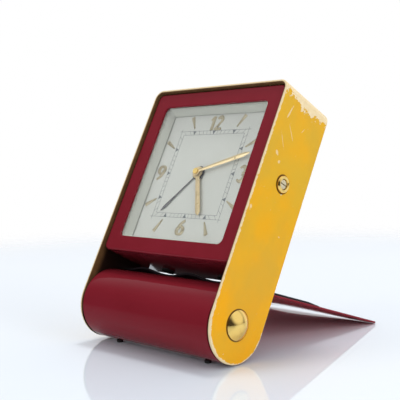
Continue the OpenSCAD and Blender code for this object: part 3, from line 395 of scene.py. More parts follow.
# %% Metals
def metal(name, colour, tarnished, rough, grain, grain_depth, tarnish=0.5):
    """grain stretches the brushing lines, tarnish is the share of colour that turns."""
    made, tree, shader = start(name, colour, rough, 1.0)
    place = own_place(tree)
    spots = step(noise(place, 2.2, 5, rough=0.65), 0.5, 0.75)
    share = times(spots, tarnish)
    tree.links.new(blend_colour(share, colour, tarnished), shader.inputs["Base Color"])
    lines = noise(place, 0.25, 2, grain)
    uneven = plus(times(share, 0.25), times(lines, 0.08))
    tree.links.new(plus(rough, uneven), shader.inputs["Roughness"])
    bump(tree, shader, lines, 0.4, grain_depth)
    return made


EVEN = (1, 1, 1)  # no direction of brushing
BRASS = metal("polished_brass", (0.90, 0.63, 0.19), (0.50, 0.28, 0.06), 0.06, EVEN, 0.01, 0.35)
GILT = metal("gilt", (0.70, 0.55, 0.32), (0.42, 0.30, 0.15), 0.38, EVEN, 0.01)
APPLIED_GILT = metal("aged_gilt", (0.46, 0.40, 0.275), (0.24, 0.195, 0.13), 0.42, EVEN, 0.01, 0.7)
HAND_STEEL = metal("blackened_steel", (0.10, 0.095, 0.10), (0.04, 0.04, 0.045), 0.3, EVEN, 0.01)
MOVEMENT = metal("movement_brass", (0.74, 0.56, 0.26), (0.5, 0.34, 0.13), 0.24, (1, 1, 0.06),
                 0.02)
STEEL = metal("polished_steel", (0.60, 0.60, 0.62), (0.4, 0.39, 0.38), 0.16, (0.1, 1, 1), 0.015)
BLUED = metal("blued_steel", (0.10, 0.15, 0.34), (0.16, 0.12, 0.2), 0.2, EVEN, 0.01)
print("made", [m.name for m in (BRASS, GILT, APPLIED_GILT, HAND_STEEL, MOVEMENT, STEEL, BLUED)])

# %% [markdown]
# ## Dial, worn brass, ink, rubber and pad
# The dial is silvered: pale, matt, with a very fine grain. The worn brass of the screws, ink,
# rubber and the dark pad are dull too, so their fine bump matters more than their colour. One
# function makes all six, because only grain, colour and roughness change.

# %% Dull finishes
def dull(name, first, second, rough, size, depth_mm, stretch=(1, 1, 1), specular=0.5,
         groove=None):
    """Grain of that size between two colours; behind the groove's place in y it is darkened to
    painted shade.
    """
    made, tree, shader = start(name, first, rough)
    place = own_place(tree)
    grain = noise(place, size, 4, stretch)
    colour = blend_colour(grain, first, second)
    if groove:
        deep = step(add(tree, "SeparateXYZ", {0: place}).outputs[1], groove - 0.05, groove)
        # Painted shade in the groove at the foot of the wall
        colour = blend_colour(deep, colour, (0.05, 0.045, 0.035))
    tree.links.new(colour, shader.inputs["Base Color"])
    tree.links.new(plus(rough, times(grain, 0.12)), shader.inputs["Roughness"])
    shader.inputs["Specular IOR Level"].default_value = specular
    bump(tree, shader, grain, 0.5, depth_mm)
    return made


DIAL = dull("silvered_dial", (0.53, 0.528, 0.488), (0.58, 0.577, 0.537), 0.42, 0.3, 0.01,
            (0.2, 1, 1))
# The wall's foot is darkened with painted shade from the groove's place on
WALL = dull("silvered_wall", (0.46, 0.46, 0.41), (0.54, 0.54, 0.48), 0.4, 0.4, 0.01,
            groove=DIAL_Y - 0.26)
WORN_BRASS = dull("worn_brass", (0.66, 0.60, 0.43), (0.52, 0.44, 0.26), 0.3, 0.6, 0.02)
INK = dull("grey_ink", (0.10, 0.11, 0.12), (0.18, 0.19, 0.20), 0.5, 0.3, 0.002)
RUBBER = dull("black_rubber", (0.012, 0.011, 0.011), (0.03, 0.028, 0.027), 0.55, 0.3, 0.03)
PAD = dull("dark_pad", (0.010, 0.007, 0.008), (0.032, 0.024, 0.029), 0.6, 0.6, 0.05,
           specular=0.15)
print("made", [m.name for m in (DIAL, WALL, WORN_BRASS, INK, RUBBER, PAD)])

# %% [markdown]
# ## Glass
# A flat pane covers the dial, clean but for a few faint smudges. Real glass in a renderer
# throws a dark shadow, because light paths through it are hard to find. Letting shadow rays
# pass straight through keeps the dial as light as behind a real pane.

# %% Glass
def clear_glass():
    made, tree, shader = start("clear_glass", (0.95, 0.97, 0.97), 0.02)
    shader.inputs["Transmission Weight"].default_value = 1.0
    shader.inputs["IOR"].default_value = 1.45
    smudge = noise(own_place(tree), 5, 5)
    tree.links.new(times(step(smudge, 0.55, 0.8), 0.05), shader.inputs["Roughness"])
    through = add(tree, "BsdfTransparent", {"Color": (0.96, 0.98, 0.97, 1)}).outputs[0]
    shadow = add(tree, "LightPath").outputs["Is Shadow Ray"]
    mixed = add(tree, "MixShader", {0: shadow, 1: shader.outputs[0], 2: through})
    tree.links.new(mixed.outputs[0], tree.nodes["Material Output"].inputs["Surface"])
    return made


GLASS = clear_glass()
print("made", GLASS.name)

# %% [markdown]
# ## Helpers for meshes
# Nearly every piece of this clock is one of three forms: a sheet bent along a line, a slab
# with rounded edges, or a turned piece. All three are skins over a row of rings, so one
# function joins rings and the others only say where the rings are. Real edges are never
# sharp: each form gets a small rounding that catches a highlight.

# %% Skin and piece
def skin(mesh, rings, closed=False, capped=True):
    """Joins each ring of points to the next with faces, and gives the rings' vertices back."""
    rows = [[mesh.verts.new(point) for point in ring] for ring in rings]
    pairs = list(zip(rows, rows[1:])) + ([(rows[-1], rows[0])] if closed else [])
    for low, high in pairs:
        for i in range(len(low)):
            k = (i + 1) % len(low)
            mesh.faces.new((low[i], low[k], high[k], high[i]))
    if capped and not closed:
        mesh.faces.new(rows[0][::-1])
        mesh.faces.new(rows[-1])
    return rows


def piece(name, mesh, where, finish, body, replaced=(), smooth=True, sharp=35):
    """Turns a mesh in millimetres into a piece of the clock, riding on its CAD body."""
    bmesh.ops.remove_doubles(mesh, verts=mesh.verts, dist=1e-4)
    bmesh.ops.dissolve_degenerate(mesh, edges=mesh.edges, dist=1e-4)
    bmesh.ops.recalc_face_normals(mesh, faces=mesh.faces)
    data = bpy.data.meshes.new(name)
    mesh.to_mesh(data)
    mesh.free()
    data.transform(Matrix.Scale(MM, 4) @ where)
    data.materials.append(finish)
    data.shade_smooth() if smooth else data.shade_flat()
    if smooth:
        data.set_sharp_from_angle(angle=math.radians(sharp))
    made = bpy.data.objects.new(name, data)
    scene.collection.objects.link(made)
    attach(made, body)
    if replaced:
        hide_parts(*replaced)
    print(name, len(data.vertices), "points,", len(data.polygons), "faces")
    return made


print("skin and piece ready")

# %% Roundings, rectangles and turned forms
def rounding(edge, thick, steps=4, hold=0.25):
    """Inset and depth of each ring round a sheet's edge, from its upper to its lower face."""
    arcs = [(edge * (1 - math.sin(a)), edge * (1 - math.cos(a)))
            for a in (math.pi / 2 * k / steps for k in range(steps + 1))]
    upper = [(edge + hold, 0.0)] + arcs
    return upper + [(inset, thick - depth) for inset, depth in reversed(upper)]


def round_rect(width, height, corner, steps=6):
    """Points of a rectangle with round corners about zero, anticlockwise."""
    points = []
    for turn, (sx, sz) in enumerate(((1, 1), (-1, 1), (-1, -1), (1, -1))):
        for k in range(steps + 1):
            a = math.pi / 2 * (turn + k / steps)
            points.append((sx * (width / 2 - corner) + corner * math.cos(a),
                           sz * (height / 2 - corner) + corner * math.sin(a)))
    return points


def circle(radius, steps):
    """Points of a circle about zero."""
    return [(radius * math.cos(a), radius * math.sin(a))
            for a in (2 * math.pi * k / steps for k in range(steps))]


def turned(mesh, profile, x0=0.0, steps=48, side=1, bored=False):
    """Turned piece about x: profile is (x, radius) end to end, or round a bored ring."""
    skin(mesh, [[(side * (x0 + x), y, z) for y, z in circle(max(radius, 1e-5), steps)]
                for x, radius in profile], closed=bored)


print("mesh helpers ready")

# %% [markdown]
# ## Bent sheets
# Strap and cover are flat strips before they are bent: one with two round ends, the other
# with small round corners. The strip is drawn flat, with rings round its edge, and a fold
# function says where each point of it ends up. That keeps the width true and the edge round
# everywhere, as bending a real strip does.

# %% Bent strip
def bent_strip(mesh, length, half, ends, fold, thick, edge, stations):
    """ends: corner radius at the start and at the end of the strip. fold(s, w, depth)."""
    quarter = [math.pi / 2 * k / 16 for k in range(17)]
    rings = []
    for inset, depth in rounding(edge, thick):
        first = [(ends[0] - (ends[0] - inset) * math.cos(a),
                  half - ends[0] + (ends[0] - inset) * math.sin(a)) for a in quarter]
        last = [(length - ends[1] + (ends[1] - inset) * math.cos(a),
                 half - ends[1] + (ends[1] - inset) * math.sin(a)) for a in reversed(quarter)]
        line = first + [(s, half - inset) for s in stations] + last
        rings.append([fold(s, w, depth) for s, w in line]
                     + [fold(s, -w, depth) for s, w in reversed(line)])
    made = skin(mesh, rings, capped=False)
    for ring in (made[0], made[-1]):
        count = len(ring)
        for i in range(count // 2 - 1):
            mesh.faces.new((ring[i], ring[i + 1], ring[count - 2 - i], ring[count - 1 - i]))


print("bent strip ready")

# %% The strap
STRAIGHT = STRAP_H - STRAP_BEND + ARM_R
BEND_R = STRAP_BEND - STRAP_T / 2
TURN = math.pi / 2 * BEND_R
TOP = STRAP_W - 2 * STRAP_BEND
STRAP_L = 2 * (STRAIGHT + TURN) + TOP


def strap_fold(s, w, depth):
    """Right arm up, over the top and down the left arm; depth counts from the outer face."""
    side = 1
    if s > STRAIGHT + TURN + TOP / 2:
        s, side = STRAP_L - s, -1
    if s <= STRAIGHT:
        x, z = STRAP_W / 2 - depth, s - ARM_R
    elif s <= STRAIGHT + TURN:
        a = (s - STRAIGHT) / BEND_R
        x = STRAP_W / 2 - STRAP_BEND + (STRAP_BEND - depth) * math.cos(a)
        z = STRAP_H - STRAP_BEND + (STRAP_BEND - depth) * math.sin(a)
    else:
        x, z = STRAP_W / 2 - STRAP_BEND - (s - STRAIGHT - TURN), STRAP_H - depth
    return side * x, w, z


# Cuts across the strip: even along the arm, and close together round the bend
marks = [20 + 8 * k for k in range(8)] + [STRAIGHT + TURN * k / 12 for k in range(13)]
stations = marks + [STRAP_L / 2] + [STRAP_L - s for s in reversed(marks)]
band = bmesh.new()
bent_strip(band, STRAP_L, ARM_R, (ARM_R, ARM_R), strap_fold, STRAP_T, 0.22, stations)
piece("strap", band, ON_FRAME, YELLOW, "case", ["strap_frame"])

# %% [markdown]
# ## The cover's sheet
# The cover is one strip too: flat from the plate's free end to the line of the pivot, then
# rolled on round the studs' axis. On the real clock the thin plate is sprung: its end stands
# on its two corners and is a little high between them, and light shows under it. A formula
# gives that lift for each point. For it to bend across as well, the plate first gets cuts
# along its length.

# %% The cover's sheet
BARREL_R = COVER_R - COVER_T / 2
BARREL_L = BARREL_R * (math.pi + 2 * SLOPE)
CAMBER, CAMBER_FROM = 1.0, 36.0


def cover_fold(s, w, depth):
    """From the plate's free end to the barrel, then round its front and under it."""
    if s <= COVER_L:
        return w, COVER_L - s, COVER_R - depth
    a = (s - COVER_L) / BARREL_R
    return w, -(COVER_R - depth) * math.sin(a), (COVER_R - depth) * math.cos(a)


def camber(x, y):
    """How far the plate stands up there: most left of its middle, none at its right corner."""
    past = max(0.0, y - CAMBER_FROM) / (COVER_L - CAMBER_FROM)
    share = max(0.0, 0.5 - x / (2 * COVER_X) - 0.13) / 0.87
    return CAMBER * past ** 1.5 * math.sin(math.pi * min(share, 1.0) ** 1.5)


sheet = bmesh.new()
plate_marks = [COVER_L * k / 30 for k in range(1, 31)]
barrel_marks = [COVER_L + BARREL_L * k / 72 for k in range(1, 71)]
bent_strip(sheet, COVER_L + BARREL_L, COVER_X, (1.6, 0.6), cover_fold, COVER_T, 0.16,
           plate_marks + barrel_marks)
# The plate's inner face takes the second finish, the red with painted light
for face in sheet.faces:
    middle = face.calc_center_median()
    face.material_index = int(middle.y > 0 and abs(middle.z - COVER_R + COVER_T) < 0.01)
for cut in range(-24, 25, 6):
    bmesh.ops.bisect_plane(sheet, geom=sheet.verts[:] + sheet.edges[:] + sheet.faces[:],
                           plane_co=(cut, 0, 0), plane_no=(1, 0, 0))
# A lift square to the sloping plate would push its end back, so each point also draws in
for point in sheet.verts:
    lift = camber(point.co.x, point.co.y)
    point.co += Vector((0, -1.05 * lift * math.tan(SLOPE), lift))
cover = piece("cover", sheet, ON_COVER, RED_COVER, "cover", ["cover_shell"])
cover.data.materials.append(RED_INNER_PAINTED_LIGHT)

# %% [markdown]
# ## The case
# The case is a deep-drawn box: a flat front with a window, and four walls. It could be a box
# with a hole cut by a boolean, but the cut leaves poor faces and sharp edges. Rings of one
# rounded rectangle run from the window's edge over the front, round the outer corner, back
# along the walls and in again, so the whole shell is one closed skin.

# %% Case shell
CASE_W, CASE_H, CASE_Z, CASE_T, CASE_CORNER = 57.6, 58.5, 15.5, 0.8, 2.0
WINDOW_W, WINDOW_H, WINDOW_Z, WINDOW_CORNER = 46.8, 48.2, 44.7, 1.8
INNER_EDGE, OUTER_EDGE = 0.25, 0.6


def case_ring(grow, y, window=False):
    """Outline of the case, or of its window, made larger on every side."""
    width, height, corner, middle = ((WINDOW_W, WINDOW_H, WINDOW_CORNER, WINDOW_Z) if window else
                                     (CASE_W, CASE_H, CASE_CORNER, CASE_Z + CASE_H / 2))
    return [(x, y, middle + z) for x, z in
            round_rect(width + 2 * grow, height + 2 * grow, max(corner + grow, 0.2))]


shell = bmesh.new()
lip = FACE_Y + CASE_T
window_edge = [case_ring(INNER_EDGE * (1 - math.cos(a)),
                         FACE_Y + INNER_EDGE * (1 - math.sin(a)), True)
               for a in (math.pi / 8 * k for k in range(5))]
outer_edge = [case_ring(-OUTER_EDGE * (1 - math.sin(a)), FACE_Y + OUTER_EDGE * (1 - math.cos(a)))
              for a in (math.pi / 12 * k for k in range(7))]
rear_edge = [case_ring(grow, REAR_Y - back) for grow, back in
             ((0, 0.5), (0, 0.2), (-0.06, 0.06), (-0.2, 0), (-0.6, 0), (-0.74, 0.06),
              (-CASE_T, 0.2))]
skin(shell, [case_ring(0, lip, True), case_ring(0, lip - 0.3, True)] + window_edge
     + [case_ring(0.6, FACE_Y, True), case_ring(-1.0, FACE_Y)] + outer_edge
     + [case_ring(0, FACE_Y + 1.0)] + rear_edge + [case_ring(-CASE_T, lip)], closed=True)
piece("case", shell, ON_FRAME, RED_CASE, "case", ["case_shell"])

# %% [markdown]
# ## The silvered surround
# A sloping frame fills the depth between glass and dial, with a thin groove at its foot that is
# darkened by painted shade.
# It could be four walls with mitred ends. Rings of a rounded rectangle that gets smaller
# towards the dial give the same mitres in one skin. Its walls slope most at the sides and
# least below, so each has its own width.

# %% Surround
WALL_SIDE, WALL_TOP, WALL_FOOT = 2.2, 1.9, 1.35


def wall_ring(slope, y, grow=0.0):
    """Ring of the four walls: slope is 0 at the glass and 1 where they stand on the dial."""
    width = WINDOW_W - 2 * WALL_SIDE * slope + 2 * grow
    height = WINDOW_H - (WALL_TOP + WALL_FOOT) * slope + 2 * grow
    middle = WINDOW_Z + (WALL_FOOT - WALL_TOP) / 2 * slope
    corner = max(WINDOW_CORNER - 1.5 * slope + grow, 0.3)
    return [(x, y, middle + z) for x, z in round_rect(width, height, corner)]


surround = bmesh.new()
under_glass = FACE_Y + 1.42
skin(surround, [wall_ring(*ring) for ring in (
    (0, under_glass, 1.2), (0, under_glass), (0.04, under_glass + 0.06), (0.97, DIAL_Y - 0.36),
    (1, DIAL_Y - 0.28), (1, DIAL_Y - 0.2, 0.02), (1, DIAL_Y - 0.01, 0.45),
    (0, DIAL_Y - 0.01, 1.2))], closed=True)
piece("surround", surround, ON_FRAME, WALL, "case", ["dial_surround"])

# %% [markdown]
# ## Studs
# The two pivot studs are turned brass: a shank and a low domed head with a small vertical
# land at its foot. A squashed ball would have no such land, so the head is a profile spun
# round its axis, as on a lathe.

# %% Pivot studs
STUD_H = 2.0


def dome(radius, height, steps=14):
    """Profile of a dome on a short land, from its foot to its tip."""
    land = 0.25
    rise = height - land
    ball = (radius * radius + rise * rise) / (2 * rise)
    most = math.asin(radius / ball)
    return [(0, radius - 0.08), (0.08, radius), (land, radius)] + [
        (height - ball + ball * math.cos(most * (1 - k / steps)),
         ball * math.sin(most * (1 - k / steps))) for k in range(1, steps + 1)]


studs = bmesh.new()
for side in (1, -1):
    shank = [(-3.6, 1.4), (-3.5, 1.5), (0, 1.5)]
    turned(studs, shank + dome(STUD_R, STUD_H), STRAP_W / 2, 72, side)
piece("studs", studs, ON_FRAME, BRASS, "case", ["pivot_studs"])

# %% [markdown]
# ## Eyelets and screws
# A rolled brass ring lines a hole in each arm, and a slotted screw sits down in it. The ring
# is a closed profile spun round its axis, so it stays open in the middle. The screw's slot is
# real too: the head is two half heads with a gap between them, which needs no boolean.

# %% Eyelets and slotted screws
SCREW_X = CASE_W / 2 + 0.3


def slotted_head(mesh, x0, side, profile, slot=0.17):
    """Two halves of a round head, with an open slot between them along y."""
    for half in (1, -1):
        outline = []
        for x, radius in profile:
            low = math.asin(slot / radius)
            outline.append([(side * (x0 + x), radius * math.cos(a), half * radius * math.sin(a))
                            for a in (low + (math.pi - 2 * low) * k / 20 for k in range(21))])
        skin(mesh, outline)


rings, screws = bmesh.new(), bmesh.new()
for side in (1, -1):
    turned(rings, [(-0.85, 1.62), (-0.85, 2.05), (0, 2.1), (0, EYELET_R - 0.1),
                   (0.18, EYELET_R), (0.4, EYELET_R - 0.02), (0.62, EYELET_R - 0.13),
                   (0.8, EYELET_R - 0.32), (0.9, 2.2), (0.86, 1.95), (0.7, 1.7), (0.5, 1.62)],
           STRAP_W / 2, 56, side, bored=True)
    turned(screws, [(-1.9, 0.85), (-1.8, 0.9), (0.05, 0.9), (0.05, 1.5), (0.7, 1.5)],
           SCREW_X, 40, side)
    slotted_head(screws, SCREW_X, side, [(0.69, 1.5), (1.1, 1.5), (1.24, 1.4), (1.32, 1.15)])
for mesh in (rings, screws):
    bmesh.ops.translate(mesh, verts=mesh.verts, vec=(0, 0, EYELET_Z))
piece("eyelets", rings, ON_FRAME, BRASS, "case", ["case_eyelets"])
piece("screws", screws, ON_FRAME, WORN_BRASS, "case", ["case_screws"])

# %% [markdown]
# ## Stop pad
# A soft dark layer lies on the plate. Its front edge has come loose and stands up in low
# waves, which show as dark and light spots in the gap under the case. It could be a cloth
# simulation; a grid whose height is a formula is enough for one thin layer, and gives waves,
# round rim and thin corners at once.

# %% Stop pad
PAD_W, PAD_L, PAD_T, PAD_AT, PAD_CORNER = 55.0, 42.6, 0.8, 3.0, 7.0
PAD_END = PAD_AT + PAD_L
# The loose front edge, and its waves: length, the place of a top, and height
LOOSE, WAVE_L, WAVE_AT, WAVE_H = 8.0, 22.0, 3.5, 1.5
# Where the pad gets thin: before its end, and inside a slanted line at each rear corner
THIN_END, THIN_CORNER, CORNER_LINE = 4.5, 7.5, 69.2
columns, rows = 56, 40


def pad_lift(x, y):
    """The pad's front edge has come loose and stands up in low waves."""
    loose = max(0.0, 1 - (y - PAD_AT) / LOOSE) ** 2
    wave = 0.5 + 0.5 * math.cos(2 * math.pi * (x - WAVE_AT) / WAVE_L)
    return loose * WAVE_H * wave ** 1.2


def pad_crown(x, y):
    """Thickness: round at the rim, and pressed thin at the rear end and its two corners."""
    rear = PAD_END - y
    rim = min(PAD_W / 2 - abs(x), y - PAD_AT, rear)
    edge = 0.72 + 0.28 * math.sqrt(max(1 - (1 - min(rim, 0.5) / 0.5) ** 2, 0.0))
    end = min(1.0, 0.04 + (max(rear, 0.0) / THIN_END) ** 0.8)
    corner = min(1.0, 0.05 + max(0.0, (CORNER_LINE - abs(x) - y) / THIN_CORNER) ** 0.8)
    return PAD_T * edge * end * corner


def pad_point(i, k, upper):
    """Point of the grid; the side is drawn in to round the two rear corners."""
    y = PAD_AT + PAD_L * k / rows
    past = max(0.0, y - (PAD_END - PAD_CORNER))
    drawn = PAD_CORNER - math.sqrt(max(PAD_CORNER ** 2 - past * past, 0.0))
    x = PAD_W * (i / columns - 0.5) * (1 - drawn / (PAD_W / 2))
    thick = pad_crown(x, y) if upper else 0.01
    return x, y, COVER_R + camber(x, y) + pad_lift(x, y) + thick


pad = bmesh.new()
grid = {(face, i, k): pad.verts.new(pad_point(i, k, face))
        for face in (0, 1) for i in range(columns + 1) for k in range(rows + 1)}
for i in range(columns):
    for k in range(rows):
        for face in (0, 1):
            pad.faces.new([grid[face, i + a, k + b] for a, b in ((0, 0), (1, 0), (1, 1), (0, 1))])
around = ([(i, 0) for i in range(columns)] + [(columns, k) for k in range(rows)]
          + [(i, rows) for i in range(columns, 0, -1)] + [(0, k) for k in range(rows, 0, -1)])
for first, second in zip(around, around[1:] + around[:1]):
    pad.faces.new((grid[(0, *first)], grid[(0, *second)], grid[(1, *second)], grid[(1, *first)]))
piece("stop_pad", pad, ON_COVER, PAD, "cover", ["cover_stop_pad"], sharp=50)

# %% [markdown]
# ## Feet
# Two small rubber feet carry the barrel. They stay upright on the table, so they are made in
# the clock's own place and not in a slanted frame. Five rings give each a round lower edge.

# %% Feet
FOOT_X, FOOT_Y = 20.5, -2.903
FOOT_PROFILE = ((0.8, 0), (0.98, 0.06), (1.05, 0.2), (1.05, 0.75), (0.95, 0.9))
feet = bmesh.new()
for side in (1, -1):
    skin(feet, [[(side * FOOT_X + x, FOOT_Y + y, z) for x, y in circle(radius, 32)]
                for radius, z in FOOT_PROFILE])
piece("feet", feet, Matrix.Translation((0, -MIDDLE_Y, 0)), RUBBER, "cover",
      ["cover_feet"])

# %% [markdown]
# ## The dial's printing
# A thin double square track with a dash for each minute and a small triangle at each hour.
# It is printed on the real dial; flat shapes a few hundredths of a millimetre proud of the
# dial stay crisp at any distance, which a painted texture doesn't.

# %% Printed track
INK_T, LINE, DASH, OVERRUN = 0.03, 0.11, 0.1, 0.9
TRIANGLE_H, TRIANGLE_HALF = 1.45, 0.75
TRACK = ((15.3, 15.7), (13.9, 14.3))


def bar_on_dial(mesh, x0, z0, x1, z1, width):
    """Thin printed bar from one point of the dial to another."""
    along = Vector((x1 - x0, z1 - z0)).normalized()
    nx, nz = -along[1] * width / 2, along[0] * width / 2
    corners = [(x0 + nx, z0 + nz), (x0 - nx, z0 - nz), (x1 - nx, z1 - nz), (x1 + nx, z1 + nz)]
    skin(mesh, [[(x, DIAL_Y - t, z) for x, z in corners] for t in (0.002, INK_T)])


def on_square(degrees, half_x, half_z):
    """Where the ray at that angle from 12 meets a square track."""
    dx, dz = math.sin(math.radians(degrees)), math.cos(math.radians(degrees))
    k = min(half_x / max(abs(dx), 1e-6), half_z / max(abs(dz), 1e-6))
    return k * dx, k * dz


def hour_triangle(mesh, at):
    """Small triangle on the outer track that points inwards."""
    middle = Vector(at)
    level = abs(at[1]) > abs(at[0])
    push = (Vector((0, -math.copysign(TRIANGLE_H, at[1]))) if level else
            Vector((-math.copysign(TRIANGLE_H, at[0]), 0)))
    wide = Vector((TRIANGLE_HALF, 0)) if level else Vector((0, TRIANGLE_HALF))
    corners = [middle + wide, middle - wide, middle + push]
    skin(mesh, [[(c[0], DIAL_Y - t, c[1]) for c in corners] for t in (0.004, INK_T + 0.004)])


track = bmesh.new()
for half_x, half_z in TRACK:
    # Only the outer square's lines run on past its corners
    over = OVERRUN if half_x > 15 else 0.0
    for s in (1, -1):
        bar_on_dial(track, -half_x - over, s * half_z, half_x + over, s * half_z, LINE)
        bar_on_dial(track, s * half_x, -half_z - over, s * half_x, half_z + over, LINE)
for minute in range(60):
    outer = on_square(6 * minute, *TRACK[0])
    if minute % 5:
        bar_on_dial(track, *on_square(6 * minute, *TRACK[1]), *outer, DASH)
    else:
        hour_triangle(track, outer)
piece("dial_track", track, ON_ARBOR, INK, "case", smooth=False)

# %% [markdown]
# ## Applied numerals and hour marks
# Each numeral is a thin gilt stroke with a crowned top, laid along a line as a pen would. The
# marks are wedges with a ridge. A font would be quicker, but its letters have flat tops and
# its own shapes. Real edges reflect light from two sides, so strokes have a ridge too.

# %% Strokes
APPLIED = 0.28


def stroke(mesh, path, widths):
    """Ridged stroke along a path on the dial: low at both sides, high along the middle."""
    section = ((-1, 0), (-1, APPLIED * 0.45), (-0.35, APPLIED), (0.35, APPLIED),
               (1, APPLIED * 0.45), (1, 0))
    outline = []
    for i, point in enumerate(path):
        ahead = Vector(path[min(i + 1, len(path) - 1)]) - Vector(path[max(i - 1, 0)])
        across = Vector((-ahead[1], ahead[0])).normalized()
        w = (widths[i] if isinstance(widths, (list, tuple)) else widths) / 2
        p = Vector(point)
        outline.append([(p[0] + across[0] * w * k, DIAL_Y - h, p[1] + across[1] * w * k)
                        for k, h in section])
    skin(mesh, outline)


def arc(cx, cz, radius, first, last, steps=20):
    """Points of an arc about a centre, from one angle to another in degrees."""
    angles = [math.radians(first + (last - first) * k / steps) for k in range(steps + 1)]
    return [(cx + radius * math.cos(a), cz + radius * math.sin(a)) for a in angles]


def swell(count, thin, thick, phase=0.0, turns=1.0):
    """Stroke widths that swell on the uprights, as broad pen figures do."""
    return [thin + (thick - thin) * math.sin(math.pi * (phase + turns * k / (count - 1))) ** 2
            for k in range(count)]


print("strokes", APPLIED, "mm high")

# %% Numerals
RING_X, RING_Z = 18.4, 18.9


def numeral(mesh, figure, x, z, height):
    """One of the figures 1, 2, 3, 6 and 9; a 9 is a 6 turned round."""
    h = height / 2
    r = height * 0.27
    if figure == "1":
        stroke(mesh, [(x, z - h), (x, z + h - 0.05)], 1.3)
        stroke(mesh, [(x - 1.25, z + h - 1.5), (x - 0.3, z + h - 0.3)], [0.5, 0.9])
    elif figure == "2":
        path = arc(x, z + h - r, r - 0.4, 165, -35) + [(x - r + 0.45, z - h + 0.6)]
        stroke(mesh, path, swell(len(path), 0.85, 1.45, 0.1, 0.8))
        stroke(mesh, [(x - r - 0.05, z - h + 0.45), (x + r + 0.05, z - h + 0.45)], 0.9)
    elif figure == "3":
        top = arc(x, z + h - r, r - 0.4, 150, -75)
        low = arc(x, z - h + r, r - 0.35, 75, -150)
        stroke(mesh, top, swell(len(top), 0.75, 1.4))
        stroke(mesh, low, swell(len(low), 0.75, 1.45))
    else:
        flip = 1 if figure == "6" else -1
        bowl = arc(x, z - flip * (h - r * 1.1), r * 1.1 - 0.38, 0, 360, 32)
        stroke(mesh, bowl, [0.8 + 0.65 * abs(math.cos(2 * math.pi * k / 32)) for k in range(33)])
        tail = [(x + flip * (px - x), z + flip * (pz - z)) for px, pz in
                arc(x + 2.55, z - h + r * 1.1, 3.65, 178, 112, 14)]
        stroke(mesh, tail, [1.4 - 0.5 * k / 14 for k in range(15)])


numerals = bmesh.new()
for figure, x, z, height in (("1", -1.6, RING_Z - 0.5, 5.2), ("2", 1.15, RING_Z - 0.5, 5.2),
                             ("3", RING_X, 0, 5.8), ("6", 0, -RING_Z, 5.7),
                             ("9", -RING_X, 0, 5.8)):
    numeral(numerals, figure, x, z, height)
piece("numerals", numerals, ON_ARBOR, APPLIED_GILT, "case", ["hour_numerals"],
      smooth=False)

# %% Hour marks
hour_marks = bmesh.new()
for hour in (1, 2, 4, 5, 7, 8, 10, 11):
    x, z = on_square(30 * hour, RING_X, RING_Z)
    out = Vector((math.sin(math.radians(30 * hour)), math.cos(math.radians(30 * hour))))
    ends = [(x - 2.5 * out[0], z - 2.5 * out[1]), (x + 2.4 * out[0], z + 2.4 * out[1])]
    stroke(hour_marks, ends, [0.45, 1.5])
piece("hour_marks", hour_marks, ON_ARBOR, APPLIED_GILT, "case", ["hour_markers"],
      smooth=False)

# %% [markdown]
# ## Hands
# Stamped gilt bars with a long ridge, a short groove before the point, and a flat ring on
# their pipe. The ridge makes one side bright and the other dark, which is what lets real
# hands be read. The alarm hand is a plain dark blade that widens to its tip.

# %% Hands
def hand(mesh, length, stations, y, hole, ring, height):
    """stations: (share of the length, half width, share of the height)."""
    outline = []
    for share, half, tall in stations:
        z, h = share * length, height * tall
        outline.append([(-half, y, z), (-half, y - 0.35 * h, z), (0, y - h, z),
                        (half, y - 0.35 * h, z), (half, y, z)])
    skin(mesh, outline)
    section = ((hole, 0), (ring - 0.1, 0), (ring, 0.05), (ring, 0.14), (ring - 0.12, 0.22),
               (hole + 0.1, 0.22), (hole, 0.16))
    skin(mesh, [[(x, y + 0.02 - depth, z) for x, z in circle(radius, 40)]
                for radius, depth in section], closed=True)


def turned_hand(degrees):
    """Place of a hand that points that far round from 12."""
    return ON_ARBOR @ Matrix.Rotation(math.radians(degrees), 4, "Y")


ALARM_Y, HOUR_Y, MINUTE_Y = DIAL_Y - 0.3, DIAL_Y - 0.9, DIAL_Y - 1.55
minute = bmesh.new()
hand(minute, 21.6, [(0.03, 0.5, 1), (0.1, 0.52, 1), (0.5, 0.7, 1), (0.72, 0.78, 1),
                    (0.73, 0.78, 0.3), (0.75, 0.78, 0.3), (0.76, 0.78, 1), (0.9, 0.74, 1),
                    (1.0, 0.16, 0.5)], MINUTE_Y, 0.46, 1.5, 0.32)
piece("minute_hand_bar", minute, turned_hand(72), GILT, "minute_work", ["minute_hand"],
      smooth=False)
hour = bmesh.new()
hand(hour, 16.2, [(0.06, 0.8, 1), (0.5, 0.92, 1), (0.74, 0.98, 1), (0.75, 0.98, 0.3),
                  (0.77, 0.98, 0.3), (0.78, 0.98, 1), (0.94, 0.92, 1), (1.0, 0.25, 0.5)],
     HOUR_Y, 1.22, 2.05, 0.32)
piece("hour_hand_bar", hour, turned_hand(156), GILT, "hour_work", ["hour_hand"],
      smooth=False)
alarm = bmesh.new()
hand(alarm, 18.0, [(0.08, 0.26, 1), (0.6, 0.34, 1), (0.9, 0.55, 1), (1.0, 0.15, 0.6)],
     ALARM_Y, 1.72, 2.5, 0.18)
piece("alarm_hand_blade", alarm, turned_hand(221), HAND_STEEL, "alarm_hand_work",
      ["alarm_hand"], smooth=False)

# %% [markdown]
# ## Finishes for the CAD pieces that stay
# The movement, the back and the small turned pieces already have their true shape, so they
# keep it and only take a finish.

